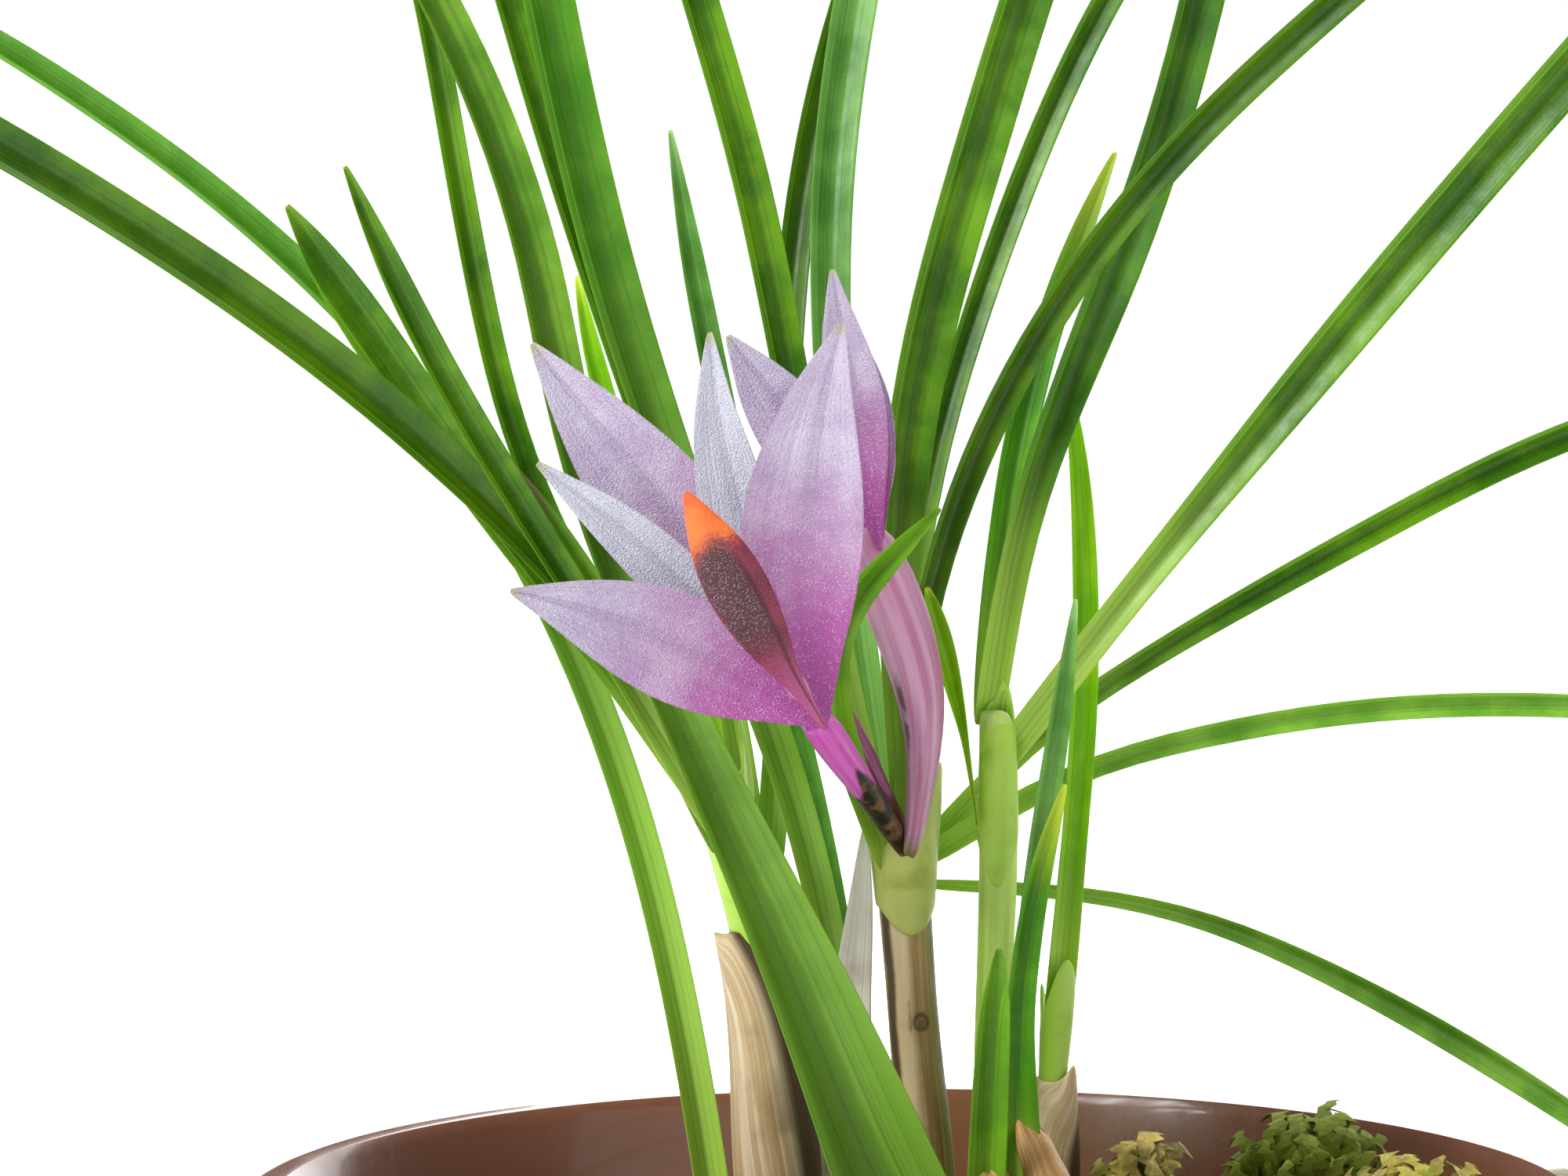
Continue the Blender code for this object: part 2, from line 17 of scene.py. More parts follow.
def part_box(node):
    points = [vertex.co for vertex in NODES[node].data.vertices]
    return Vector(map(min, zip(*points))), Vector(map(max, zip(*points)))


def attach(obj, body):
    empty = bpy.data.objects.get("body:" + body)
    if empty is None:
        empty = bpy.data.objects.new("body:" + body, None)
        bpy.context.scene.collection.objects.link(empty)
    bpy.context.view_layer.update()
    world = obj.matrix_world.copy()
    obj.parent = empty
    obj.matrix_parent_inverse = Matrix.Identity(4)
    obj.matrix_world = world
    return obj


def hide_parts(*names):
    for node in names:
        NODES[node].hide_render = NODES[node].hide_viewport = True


noise.seed_set(5)
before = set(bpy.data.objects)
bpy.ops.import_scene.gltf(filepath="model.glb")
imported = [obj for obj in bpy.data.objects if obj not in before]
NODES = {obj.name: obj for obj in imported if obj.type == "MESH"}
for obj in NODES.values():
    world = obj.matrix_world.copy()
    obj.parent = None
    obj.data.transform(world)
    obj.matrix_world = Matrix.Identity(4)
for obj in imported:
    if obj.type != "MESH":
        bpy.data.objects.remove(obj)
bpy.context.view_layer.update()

MM = 0.001
PLANT_MIDDLE = Vector((0, 0, 60)) * MM
FLOWER_HEARTS = {
    "front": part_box("front_ovary")[0].lerp(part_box("front_ovary")[1], 0.5),
    "back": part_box("back_ovary")[0].lerp(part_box("back_ovary")[1], 0.5),
}
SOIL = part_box("potting_mix")[1].z

BLADE_RING = 8                 # vertices round one ring of a blade
STEM_RING = 11                 # vertices of a stem's first ring, with the one in its middle
SHEATH_RING = 24               # vertices round one ring of a papery sheath

FOOT_REACH = 1.6 * MM          # how far a blade's foot runs into its cane
FOOT_REACHES = {"right_broad_leaf": 3.0 * MM, "stem_left_leaf": 2.6 * MM}    # leaves that start further off
CLASP_REACH = 9 * MM           # how far up a leaf its clasping foot goes
SOIL_CLASP, CANE_CLASP = 1.0, 1.9      # how wide a leaf's foot is, by where it stands
CLASPS = {"stem_left_leaf": 0.2}       # a leaf whose foot narrows instead
MERGE_REACH = 0.004 * MM       # corners of a CAD node nearer than this are one
FLATTEST, MOST_SKEWED = math.radians(60), math.radians(100)    # limits for two triangles made one quad
LEAST_HALF = 0.05 * MM         # a ring is never taken as narrower than this


# ---------------- selecting and finishing

def choose(piece):
    """Make this the only piece that an operator acts on."""
    bpy.ops.object.select_all(action="DESELECT")
    piece.select_set(True)
    bpy.context.view_layer.objects.active = piece


@contextlib.contextmanager
def editing():
    """In this block operators shape the whole of the active piece in edit mode."""
    bpy.ops.object.mode_set(mode="EDIT")
    bpy.ops.mesh.select_all(action="SELECT")
    yield
    bpy.ops.object.mode_set(mode="OBJECT")


def apply_modifier(piece, kind, **values):
    """Add a modifier with these values and apply it."""
    choose(piece)
    modifier = piece.modifiers.new(kind.lower(), kind)
    for name, value in values.items():
        setattr(modifier, name, value)
    bpy.ops.object.modifier_apply(modifier=modifier.name)


def smooth_form(piece, levels):
    apply_modifier(piece, "SUBSURF", levels=levels, render_levels=levels)


def shade(piece, angle=180):
    choose(piece)
    if angle == 180:
        bpy.ops.object.shade_smooth()
    else:
        bpy.ops.object.shade_smooth_by_angle(angle=math.radians(angle))


def dress(piece, material, slot, *replaced):
    """Give a finished piece its material and its place in the plant."""
    piece.data.materials.clear()
    piece.data.materials.append(material)
    for polygon in piece.data.polygons:
        polygon.material_index = 0
    if replaced:
        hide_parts(*replaced)
    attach(piece, "root")


def start(name, add, **values):
    """Add a primitive with nothing else chosen."""
    bpy.ops.object.select_all(action="DESELECT")
    add(**values)
    piece = bpy.context.object
    piece.name = piece.data.name = name
    return piece


def clear_away(patterns):
    for pattern in patterns:
        bpy.data.objects.remove(pattern, do_unlink=True)


def copy_of(node, name):
    """A copy of a CAD node with its loose triangles merged into one skin of quads."""
    piece = NODES[node].copy()
    piece.data = NODES[node].data.copy()
    for key in list(piece.keys()):
        del piece[key]
    piece.name = piece.data.name = name
    piece.parent = None
    bpy.context.scene.collection.objects.link(piece)
    choose(piece)
    with editing():
        bpy.ops.mesh.remove_doubles(threshold=MERGE_REACH)
        bpy.ops.mesh.normals_make_consistent(inside=False)
        bpy.ops.mesh.tris_convert_to_quads(face_threshold=FLATTEST, shape_threshold=MOST_SKEWED)
        bpy.ops.mesh.customdata_custom_splitnormals_clear()
    return piece


# ---------------- following a blade or a stem

def places(piece):
    flat = np.empty(len(piece.data.vertices) * 3)
    piece.data.vertices.foreach_get("co", flat)
    return flat.reshape(-1, 3)


def put_places(piece, points):
    piece.data.vertices.foreach_set("co", points.ravel())
    piece.data.update()


def finish_form(piece, points, levels=2):
    """Put a piece's points in place, round its form and shade it smooth."""
    put_places(piece, points)
    smooth_form(piece, levels)
    shade(piece)


def rings_from(piece, heart, first):
    """Vertex numbers ring by ring, from the end near heart; first is how many the end ring has."""
    points = places(piece)
    gaps = np.linalg.norm(points[:, None] - points[None], axis=2)
    ends = np.unravel_index(gaps.argmax(), gaps.shape)
    foot = min(ends, key=lambda i: np.linalg.norm(points[i] - np.array(heart)))
    neighbours = [set() for _ in points]
    for edge in piece.data.edges:
        a, b = edge.vertices
        neighbours[a].add(b)
        neighbours[b].add(a)
    ring = set(int(i) for i in gaps[foot].argsort()[:first])
    seen, rings = set(ring), [sorted(ring)]
    while True:
        ring = set().union(*(neighbours[i] for i in ring)) - seen
        if not ring:
            break
        seen |= ring
        if len(ring) == 1:
            rings[-1] += sorted(ring)
        else:
            rings.append(sorted(ring))
    return rings


class Spine:
    """The line that a blade or stem follows: a middle, a direction and two axes for each ring."""

    def __init__(self, piece, rings):
        points = places(piece)
        self.rings = rings
        self.middles = np.array([points[ring].mean(axis=0) for ring in rings])
        self.runs = np.gradient(self.middles, axis=0)
        self.runs /= np.linalg.norm(self.runs, axis=1)[:, None]
        self.across, self.up, self.half = [], [], []
        last = None
        for ring, middle, run in zip(rings, self.middles, self.runs):
            spread = points[ring] - middle
            spread = spread - np.outer(spread @ run, run)
            axis = np.linalg.svd(spread)[2][0]
            guide = np.cross((0, 1, 0), run) if last is None else last
            axis = axis if axis @ guide > 0 else -axis
            last = axis
            self.across.append(axis)
            self.up.append(np.cross(axis, run))
            self.half.append(max(np.abs(spread @ axis).max(), LEAST_HALF))
        steps = np.linalg.norm(np.diff(self.middles, axis=0), axis=1)
        self.along = np.concatenate([[0], steps.cumsum()]) / steps.sum()
        self.length = steps.sum()


def map_blade(piece, spine):
    """A UV map: across in U, along in V."""
    points = places(piece)
    u, v = np.zeros(len(points)), np.zeros(len(points))
    for k, ring in enumerate(spine.rings):
        side = (points[ring] - spine.middles[k]) @ spine.across[k] / spine.half[k]
        u[ring] = 0.5 + 0.5 * side.clip(-1, 1)
        v[ring] = spine.along[k]
    layer = piece.data.uv_layers.new(name="blade")
    piece.data.uv_layers.active = layer
    for loop in piece.data.loops:
        layer.data[loop.index].uv = (u[loop.vertex_index], v[loop.vertex_index])


def map_stem(piece, spine):
    """A UV map: round the stem in U, along in V, with its seam at the back."""
    points = places(piece)
    angle, v = np.zeros(len(points)), np.zeros(len(points))
    for k, ring in enumerate(spine.rings):
        spread = points[ring] - spine.middles[k]
        level = np.cross((0, 1, 0), spine.runs[k])
        level /= np.linalg.norm(level)
        away = np.cross(spine.runs[k], level)
        angle[ring] = np.arctan2(spread @ level, -(spread @ away)) / (2 * math.pi) + 0.5
        v[ring] = spine.along[k]
    put_round_map(piece, angle, v)


def put_round_map(piece, angle, v):
    """Store a UV map that goes round a tube; a face that spans the seam is carried past it."""
    layer = piece.data.uv_layers.new(name="stem")
    piece.data.uv_layers.active = layer
    for polygon in piece.data.polygons:
        corners = [piece.data.loops[i].vertex_index for i in polygon.loop_indices]
        wraps = max(angle[corners]) - min(angle[corners]) > 0.5
        for i, corner in zip(polygon.loop_indices, corners):
            layer.data[i].uv = (angle[corner] + (1 if wraps and angle[corner] < 0.5 else 0), v[corner])


def wrap_map(piece, middle, run, length):
    """A UV map for a straight tube: round it in U, up it in V."""
    turn = run.to_track_quat("Z", "Y").inverted()
    spots = [turn @ (vertex.co - middle) for vertex in piece.data.vertices]
    angle = np.array([math.atan2(spot.x, -spot.y) / (2 * math.pi) + 0.5 for spot in spots])
    put_round_map(piece, angle, [spot.z / length for spot in spots])



# ---------------- material nodes

class Finish:
    """A material being put together: each method adds a node and gives back its output."""

    def __init__(self, name, roughness=0.5, **constants):
        self.material = bpy.data.materials.new(name)
        self.material.use_nodes = True
        self.nodes = self.material.node_tree.nodes
        self.links = self.material.node_tree.links
        self.shader = self.nodes["Principled BSDF"]
        self.shader.inputs["Roughness"].default_value = roughness
        for socket, value in constants.items():
            self.shader.inputs[socket.replace("_", " ")].default_value = value
        coordinates = self.add("ShaderNodeTexCoord")
        self.place = coordinates.outputs["Object"]
        self.uv = coordinates.outputs["UV"]
        split = self.add("ShaderNodeSeparateXYZ")
        self.join(self.uv, split.inputs[0])
        self.u, self.v = split.outputs["X"], split.outputs["Y"]

    def add(self, kind, **settings):
        node = self.nodes.new(kind)
        for name, value in settings.items():
            setattr(node, name, value)
        return node

    def join(self, value, socket):
        if isinstance(value, bpy.types.NodeSocket):
            self.links.new(value, socket)
        elif socket.type == "RGBA" and len(value) == 3:
            socket.default_value = (*value, 1)
        else:
            socket.default_value = value

    def math(self, operation, a, b=0.0):
        node = self.add("ShaderNodeMath", operation=operation)
        for value, socket in zip((a, b), node.inputs):
            self.join(value, socket)
        return node.outputs[0]

    def off(self, value, mark):
        """How far value is from mark, either way."""
        return self.math("ABSOLUTE", self.math("SUBTRACT", value, mark))

    def sway(self, value, carrier, reach):
        """value, carried to and fro by a noise, by up to half of reach."""
        return self.math("ADD", value, self.math("MULTIPLY", self.math("SUBTRACT", carrier, 0.5), reach))

    def ramp(self, value, low, high, to_low=0.0, to_high=1.0):
        """value from low to high, eased, becomes to_low to to_high."""
        node = self.add("ShaderNodeMapRange", interpolation_type="SMOOTHSTEP")
        for number, socket in zip((value, low, high, to_low, to_high), node.inputs):
            self.join(number, socket)
        return node.outputs[0]

    def mix(self, factor, a, b):
        node = self.add("ShaderNodeMix", data_type="RGBA")
        self.join(factor, node.inputs["Factor"])
        self.join(a, node.inputs[6])
        self.join(b, node.inputs[7])
        return node.outputs[2]

    def lay(self, amount, colour):
        """Lay another colour over the finish so far."""
        self.colour = self.mix(amount, self.colour, colour)

    def stretched(self, vector, scale):
        node = self.add("ShaderNodeMapping")
        self.join(vector, node.inputs["Vector"])
        node.inputs["Scale"].default_value = scale
        return node.outputs[0]

    def noise(self, vector, scale, detail=3.0, roughness=0.55):
        node = self.add("ShaderNodeTexNoise")
        self.join(vector, node.inputs["Vector"])
        node.inputs["Scale"].default_value = scale
        node.inputs["Detail"].default_value = detail
        node.inputs["Roughness"].default_value = roughness
        return node.outputs["Fac"]

    def streaks(self, across, along, detail, roughness=0.55):
        """A noise that is stretched along a blade or stem: so many streaks across it and waves along it."""
        return self.noise(self.stretched(self.uv, (across, along, 1)), 1.0, detail, roughness)

    def cells(self, vector, scale, output="Distance"):
        node = self.add("ShaderNodeTexVoronoi")
        self.join(vector, node.inputs["Vector"])
        node.inputs["Scale"].default_value = scale
        return node.outputs[output]

    def bump(self, height, depth, strength, below=None):
        """Relief that is this many millimetres deep, on top of the relief below."""
        node = self.add("ShaderNodeBump")
        node.inputs["Strength"].default_value = strength
        node.inputs["Distance"].default_value = depth * MM
        self.join(height, node.inputs["Height"])
        if below is not None:
            self.join(below, node.inputs["Normal"])
        return node.outputs[0]

    def done(self, roughness=None, normal=None):
        self.join(self.colour, self.shader.inputs["Base Color"])
        if roughness is not None:
            self.join(roughness, self.shader.inputs["Roughness"])
        if normal is not None:
            self.join(normal, self.shader.inputs["Normal"])
        return self.material


def darker(colour, share):
    """A colour with only this share of its light."""
    return [c * share for c in colour]


def glow(weight, reach=1.2, radius=(0.6, 1.0, 0.25)):
    """Values for light that passes through thin living tissue."""
    return {"Subsurface_Weight": weight, "Subsurface_Scale": reach * MM, "Subsurface_Radius": radius}


def leaf_finish(name, deep, bright, foot, tip, foot_reach=0.3, tip_reach=0.06, midline=0.5, margin=0.6,
                inner=0.0):
    """Waxy leaf: a pale foot (its own pale base, brightened as painted backlit glow), painted shade down the
    middle groove, painted light and a painted highlight line on the left edge, ribs, fibres, pores and soft
    mottling.

    The last argument is how strong the painted shade is in the hollow between the lit left edge and the
    shaded middle groove.
    """
    f = Finish(name, roughness=0.42, Specular_IOR_Level=0.2, Coat_Weight=0.05, Coat_Roughness=0.22,
               **glow(0.1, 0.8, (0.5, 1.0, 0.1)))
    mottle = f.noise(f.place, 210, 4)
    fibres = f.streaks(20, 1.8, 2)
    f.colour = f.mix(f.ramp(mottle, 0.34, 0.7), deep, bright)
    f.lay(f.ramp(fibres, 0.45, 0.85, 0, 0.35), bright)
    side = f.sway(f.u, mottle, 0.06)
    # Painted light: the left edge, which faces the key lamp, is laid lighter, with a thin painted highlight
    # line along it.
    f.lay(f.ramp(side, 0.15, 0.24, margin, 0), bright)
    pale = [min(1, c * 1.7 + 0.04) for c in bright]
    rim = f.off(side, 0.21)
    f.lay(f.ramp(rim, 0.0, 0.035, margin * 0.8, 0), pale)
    # Painted shade down the middle groove of the channel.
    middle = f.off(side, 0.52)
    f.lay(f.ramp(middle, 0.01, 0.16, midline, 0), darker(deep, 0.5))
    paling = f.sway(f.v, fibres, 0.12)
    # The pale foot: the leaf's own pale base, made brighter as painted backlit glow.
    f.lay(f.ramp(paling, 0.0, foot_reach, 1, 0), foot)
    ribs = f.streaks(18, 1.2, 2)
    f.lay(f.ramp(ribs, 0.48, 0.66, 0, 0.4), darker(deep, 0.55))
    # Painted shade in the hollow of the channel, between the lit edge and the shaded middle.
    if inner:
        fold = f.math("MULTIPLY", f.ramp(side, 0.16, 0.24), f.ramp(side, 0.56, 0.62, 1, 0))
        f.lay(f.math("MULTIPLY", fold, inner), darker(deep, 0.6))
    f.lay(f.ramp(paling, 1 - tip_reach, 1.0, 0, 1), tip)
    pores = f.cells(f.place, 4600)
    f.lay(f.ramp(pores, 0.05, 0.4, 0.1, 0), pale)
    rough = f.ramp(f.noise(f.place, 900, 3), 0.3, 0.7, 0.3, 0.48)
    return f.done(rough, f.bump(fibres, 0.05, 0.5))


def sepal_finish(name, pale, violet, magenta, blush_reach, apex):
    """Lilac petal tissue: magenta at its foot, painted shade down its middle fold, faint veins and a dense,
    fine crystal texture with painted glints.
    """
    f = Finish(name, roughness=0.46, Specular_IOR_Level=0.5, **glow(0.12, 0.6, (1.0, 0.55, 0.9)))
    drift = f.noise(f.place, 260, 4)
    veins = f.streaks(22, 1.1, 3)
    edge = f.off(f.u, 0.5)
    f.colour = f.mix(f.ramp(drift, 0.32, 0.68), violet, pale)
    f.lay(f.ramp(f.v, 0.4, 0.95, 0, 0.45), pale)
    f.lay(f.ramp(veins, 0.46, 0.72, 0, 0.45), darker(violet, 0.62))
    # Painted shade down the middle fold.
    f.lay(f.ramp(edge, 0.0, 0.13, 0.45, 0), darker(violet, 0.66))
    f.lay(f.ramp(edge, 0.36, 0.5, 0, 0.35), darker(violet, 0.75))
    blush = f.sway(f.sway(f.v, veins, 0.35), drift, 0.2)
    f.lay(f.ramp(blush, 0.05, blush_reach, 0.95, 0), magenta)
    f.lay(f.ramp(f.v, 0.95, 1.0, 0, 0.8), apex)
    crystals = f.cells(f.place, 9800)
    pick = f.cells(f.place, 9800, output="Color")
    bright = f.math("MULTIPLY", f.ramp(crystals, 0.1, 0.45, 1, 0), f.ramp(pick, 0.42, 0.8))
    dull = f.math("MULTIPLY", f.ramp(crystals, 0.1, 0.55, 0.32, 0), f.ramp(pick, 0.42, 0.15))
    # Painted glints: light specks on some of the crystal cells, while the dull ones are laid a little darker.
    f.lay(f.math("MULTIPLY", bright, 0.55), (0.84, 0.8, 0.9))
    f.lay(dull, darker(violet, 0.45))
    relief = f.bump(veins, 0.12, 0.7)
    gloss = f.ramp(bright, 0.0, 0.6, 0.52, 0.18)
    return f.done(gloss, f.bump(crystals, 0.07, 0.9, below=relief))


def lip_finish(name):
    """Dark red lip: dense grey velvet on its blade, a bare crimson fold on one side, an orange tip."""
    f = Finish(name, roughness=0.5, **glow(0.12, 0.6, (1.0, 0.3, 0.2)))
    drift = f.noise(f.place, 520, 4)
    grains = f.cells(f.place, 9000)
    along = f.sway(f.v, drift, 0.1)
    side = f.sway(f.u, drift, 0.1)
    f.colour = f.mix(f.ramp(drift, 0.3, 0.7), (0.125, 0.006, 0.022), (0.24, 0.022, 0.06))
    f.lay(f.ramp(along, 0.0, 0.34, 0.95, 0), (0.4, 0.075, 0.22))
    velvet = f.math("MULTIPLY", f.ramp(side, 0.02, 0.16, 0.2, 1), f.ramp(side, 0.6, 0.76, 1, 0))
    velvet = f.math("MULTIPLY", velvet, f.ramp(along, 0.22, 0.42))
    f.lay(velvet, (0.06, 0.012, 0.02))
    speckle = f.math("MULTIPLY", velvet, f.ramp(grains, 0.08, 0.4, 0.9, 0.0))
    f.lay(speckle, (0.4, 0.29, 0.34))
    f.lay(f.ramp(grains, 0.05, 0.3, 0.3, 0), (0.62, 0.34, 0.46))
    # Painted shade: a dark line along the crease beside the bare fold, which the relief below also sinks.
    crease = f.off(side, 0.72)
    dark = f.math("MULTIPLY", f.ramp(crease, 0.0, 0.07, 0.75, 0), f.ramp(along, 0.75, 0.6))
    f.lay(dark, (0.055, 0.004, 0.012))
    reach = f.math("ADD", along, f.math("MULTIPLY", f.off(f.u, 0.5), 0.12))
    tip = f.ramp(f.math("ADD", reach, f.math("MULTIPLY", grains, 0.1)), 0.8, 0.9)
    orange = f.mix(f.ramp(drift, 0.35, 0.65), (0.66, 0.075, 0.01), (0.84, 0.17, 0.02))
    f.lay(tip, orange)
    relief = f.bump(f.math("SUBTRACT", drift, f.math("MULTIPLY", dark, 0.8)), 0.2, 0.6)
    return f.done(f.ramp(tip, 0, 1, 0.55, 0.36), f.bump(grains, 0.05, 0.7, below=relief))


def stalk_finish(name, body, streak, foot, char_reach, scar=0.0):
    """Flower stalk: streaked along its length, dark and dry up to char_reach, scarred half way up it."""
    f = Finish(name, roughness=0.42, **glow(0.22, 0.8, (1.0, 0.5, 0.8)))
    streaks = f.streaks(14, 1.2, 3)
    drift = f.noise(f.place, 900, 4)
    f.colour = f.mix(f.ramp(streaks, 0.35, 0.68), body, streak)
    edge = f.sway(f.v, drift, 0.12)
    dried = f.mix(f.ramp(drift, 0.5, 0.66), foot, (0.16, 0.075, 0.03))
    f.lay(f.ramp(edge, char_reach - 0.04, char_reach + 0.04, 1, 0), dried)
    grain = f.cells(f.place, 7000)
    # Painted glints: pale specks on the living part of the stalk, above its dry foot.
    glint_specks = f.math("MULTIPLY", f.ramp(grain, 0, 0.3, 0.18, 0), f.ramp(edge, char_reach, char_reach + 0.1))
    f.lay(glint_specks, (0.85, 0.72, 0.84))
    across = f.off(f.u, 0.36)
    along = f.off(f.v, 0.48)
    mark = f.math("MULTIPLY", f.ramp(across, 0.01, 0.05, scar, 0), f.ramp(along, 0.08, 0.2, 1, 0))
    mark = f.math("MULTIPLY", mark, f.ramp(drift, 0.36, 0.56, 0.35, 1))
    f.lay(mark, (0.05, 0.02, 0.02))
    relief = f.bump(streaks, 0.1, 0.6)
    return f.done(f.ramp(drift, 0.3, 0.7, 0.36, 0.6), f.bump(grain, 0.05, 0.4, below=relief))


def cane_finish(name, body, dark, pale, foot, top, stripes=16):
    """Cane or stem: fibres run up it, with a darker furrow or two, its foot and its top tinted."""
    f = Finish(name, roughness=0.55, **glow(0.1))
    fibres = f.streaks(stripes, 1.1, 4, 0.62)
    furrows = f.streaks(4.5, 0.5, 2)
    drift = f.noise(f.place, 420, 4)
    f.colour = f.mix(f.ramp(fibres, 0.35, 0.68), body, pale)
    f.lay(f.ramp(furrows, 0.52, 0.66, 0, 0.8), dark)
    f.lay(f.ramp(drift, 0.58, 0.78, 0, 0.5), dark)
    f.lay(f.ramp(f.v, 0.0, 0.35, 0.75, 0), foot)
    f.lay(f.ramp(f.v, 0.9, 1.0, 0, 1), top)
    relief = f.bump(fibres, 0.16, 0.8)
    return f.done(f.ramp(drift, 0.3, 0.7, 0.45, 0.7), f.bump(drift, 0.1, 0.4, below=relief))


KNOT = (0.545, 0.62)           # where a dried cane's knot is, round it and up it


def dried_cane_finish(name):
    """Dried cane: tan fibres, a painted highlight streak down its front-left, a dark furrow on its left, an
    olive side and a knot.
    """
    f = Finish(name, roughness=0.45, **glow(0.1))
    fibres = f.streaks(26, 0.9, 4, 0.62)
    drift = f.noise(f.place, 420, 4)
    side = f.sway(f.u, drift, 0.05)
    f.colour = f.mix(f.ramp(fibres, 0.35, 0.68), (0.33, 0.19, 0.06), (0.64, 0.46, 0.2))
    # Painted highlight: a bright streak just left of the front, where the key lamp glints on the round cane.
    highlight_stripe = f.off(side, 0.44)
    f.lay(f.ramp(highlight_stripe, 0.03, 0.09, 0.85, 0), (0.82, 0.66, 0.38))
    furrow = f.off(side, 0.34)
    f.lay(f.ramp(furrow, 0.02, 0.06, 0.95, 0), (0.06, 0.032, 0.012))
    f.lay(f.ramp(side, 0.6, 0.68, 0, 0.85), (0.17, 0.17, 0.035))
    stain = f.ramp(f.math("MULTIPLY", drift, fibres), 0.28, 0.42, 0, 0.6)
    f.lay(stain, (0.08, 0.045, 0.018))
    offset = f.add("ShaderNodeVectorMath", operation="SUBTRACT")
    f.join(f.uv, offset.inputs[0])
    offset.inputs[1].default_value = (*KNOT, 0)
    reach = f.add("ShaderNodeVectorMath", operation="LENGTH")
    f.join(f.stretched(offset.outputs[0], (1.0, 2.3, 0)), reach.inputs[0])
    eye = f.ramp(reach.outputs["Value"], 0.015, 0.04, 1, 0)
    ring = f.ramp(f.off(reach.outputs["Value"], 0.042), 0.0, 0.024, 0.8, 0)
    f.lay(ring, (0.09, 0.05, 0.02))
    f.lay(f.math("MULTIPLY", eye, 0.8), (0.13, 0.08, 0.035))
    f.lay(f.ramp(f.v, 0.85, 1.0), (0.4, 0.42, 0.12))
    relief = f.bump(f.math("SUBTRACT", fibres, f.math("MULTIPLY", ring, 0.6)), 0.2, 0.9)
    return f.done(f.ramp(drift, 0.3, 0.7, 0.36, 0.62), f.bump(drift, 0.1, 0.4, below=relief))


def paper_finish(name, body, dark, pale, shadow=0.0):
    """Dry sheath: close nerves, blotches, a thin light-passing skin and a dark edge, widened by shadow."""
    f = Finish(name, roughness=0.5, **glow(0.25, 0.8, (1.0, 0.8, 0.5)))
    nerves = f.streaks(30, 0.8, 3, 0.6)
    bands = f.streaks(8, 0.6, 2)
    blotch = f.noise(f.place, 330, 4)
    f.colour = f.mix(f.ramp(nerves, 0.36, 0.66), body, pale)
    f.lay(f.ramp(bands, 0.52, 0.68, 0, 0.75), pale)
    between = [(a + b) / 2 for a, b in zip(body, dark)]
    f.lay(f.ramp(blotch, 0.48, 0.72, 0, 0.6), between)
    wavy = f.sway(f.u, nerves, 0.05)
    f.lay(f.ramp(wavy, 0.86 - shadow, 0.92 - shadow, 0, 1 if shadow else 0.3), dark)
    f.lay(f.ramp(f.v, 0.0, 0.3, 0.5, 0), dark)
    relief = f.bump(nerves, 0.14, 0.8)
    return f.done(f.ramp(bands, 0.3, 0.7, 0.55, 0.32), f.bump(blotch, 0.2, 0.4, below=relief))


def sheath_finish(name, body, dark, pale, rim, foot, lap=0.0):
    """Leaf sheath: veined and waxy, its foot as dry as the cane under it, its mouth edged with a dry rim.

    lap is how strongly the edge shows where its two sides overlap in a V.
    """
    f = Finish(name, roughness=0.45, **glow(0.15, 0.8, (0.6, 1.0, 0.2)))
    veins = f.streaks(22, 0.9, 3, 0.6)
    drift = f.noise(f.place, 380, 4)
    f.colour = f.mix(f.ramp(veins, 0.38, 0.66), body, pale)
    f.lay(f.ramp(drift, 0.5, 0.75, 0, 0.7), dark)
    ragged = f.sway(f.v, drift, 0.3)
    f.lay(f.ramp(ragged, -0.3, 0.06, 1, 0), foot)
    f.lay(f.ramp(ragged, 0.6, 0.74, 0, 0.9), rim)
    slope = f.math("MULTIPLY", f.off(f.u, 0.5), 3.2)
    seam = f.math("SUBTRACT", f.math("SUBTRACT", ragged, slope), 0.02)
    f.lay(f.ramp(seam, 0.0, 0.1, 0, lap * 0.5), pale)
    f.lay(f.ramp(f.math("ABSOLUTE", seam), 0.02, 0.09, lap, 0), rim)
    relief = f.bump(veins, 0.14, 0.8)
    return f.done(f.ramp(drift, 0.3, 0.7, 0.36, 0.6), f.bump(drift, 0.12, 0.4, below=relief))


def plastic_finish(name):
    """Glossy red-brown plastic with a little flow streaking, fine scratches and water marks."""
    f = Finish(name, roughness=0.26, Coat_Weight=0.35, Coat_Roughness=0.08,
               **glow(0.05, 1.5, (1.0, 0.35, 0.2)))
    flow = f.noise(f.stretched(f.place, (18, 18, 60)), 1.0, 3)
    marks = f.noise(f.place, 140, 6, 0.7)
    f.colour = f.mix(f.ramp(flow, 0.3, 0.7), (0.15, 0.05, 0.024), (0.205, 0.074, 0.036))
    film = f.ramp(marks, 0.56, 0.8, 0, 0.22)
    f.lay(film, (0.3, 0.16, 0.1))
    scratches = f.noise(f.stretched(f.place, (700, 700, 60)), 1.0, 3)
    rough = f.math("ADD", f.ramp(marks, 0.35, 0.75, 0.2, 0.34), f.ramp(scratches, 0.5, 0.8, 0, 0.1))
    relief = f.bump(flow, 0.1, 0.25)
    return f.done(rough, f.bump(scratches, 0.015, 0.4, below=relief))


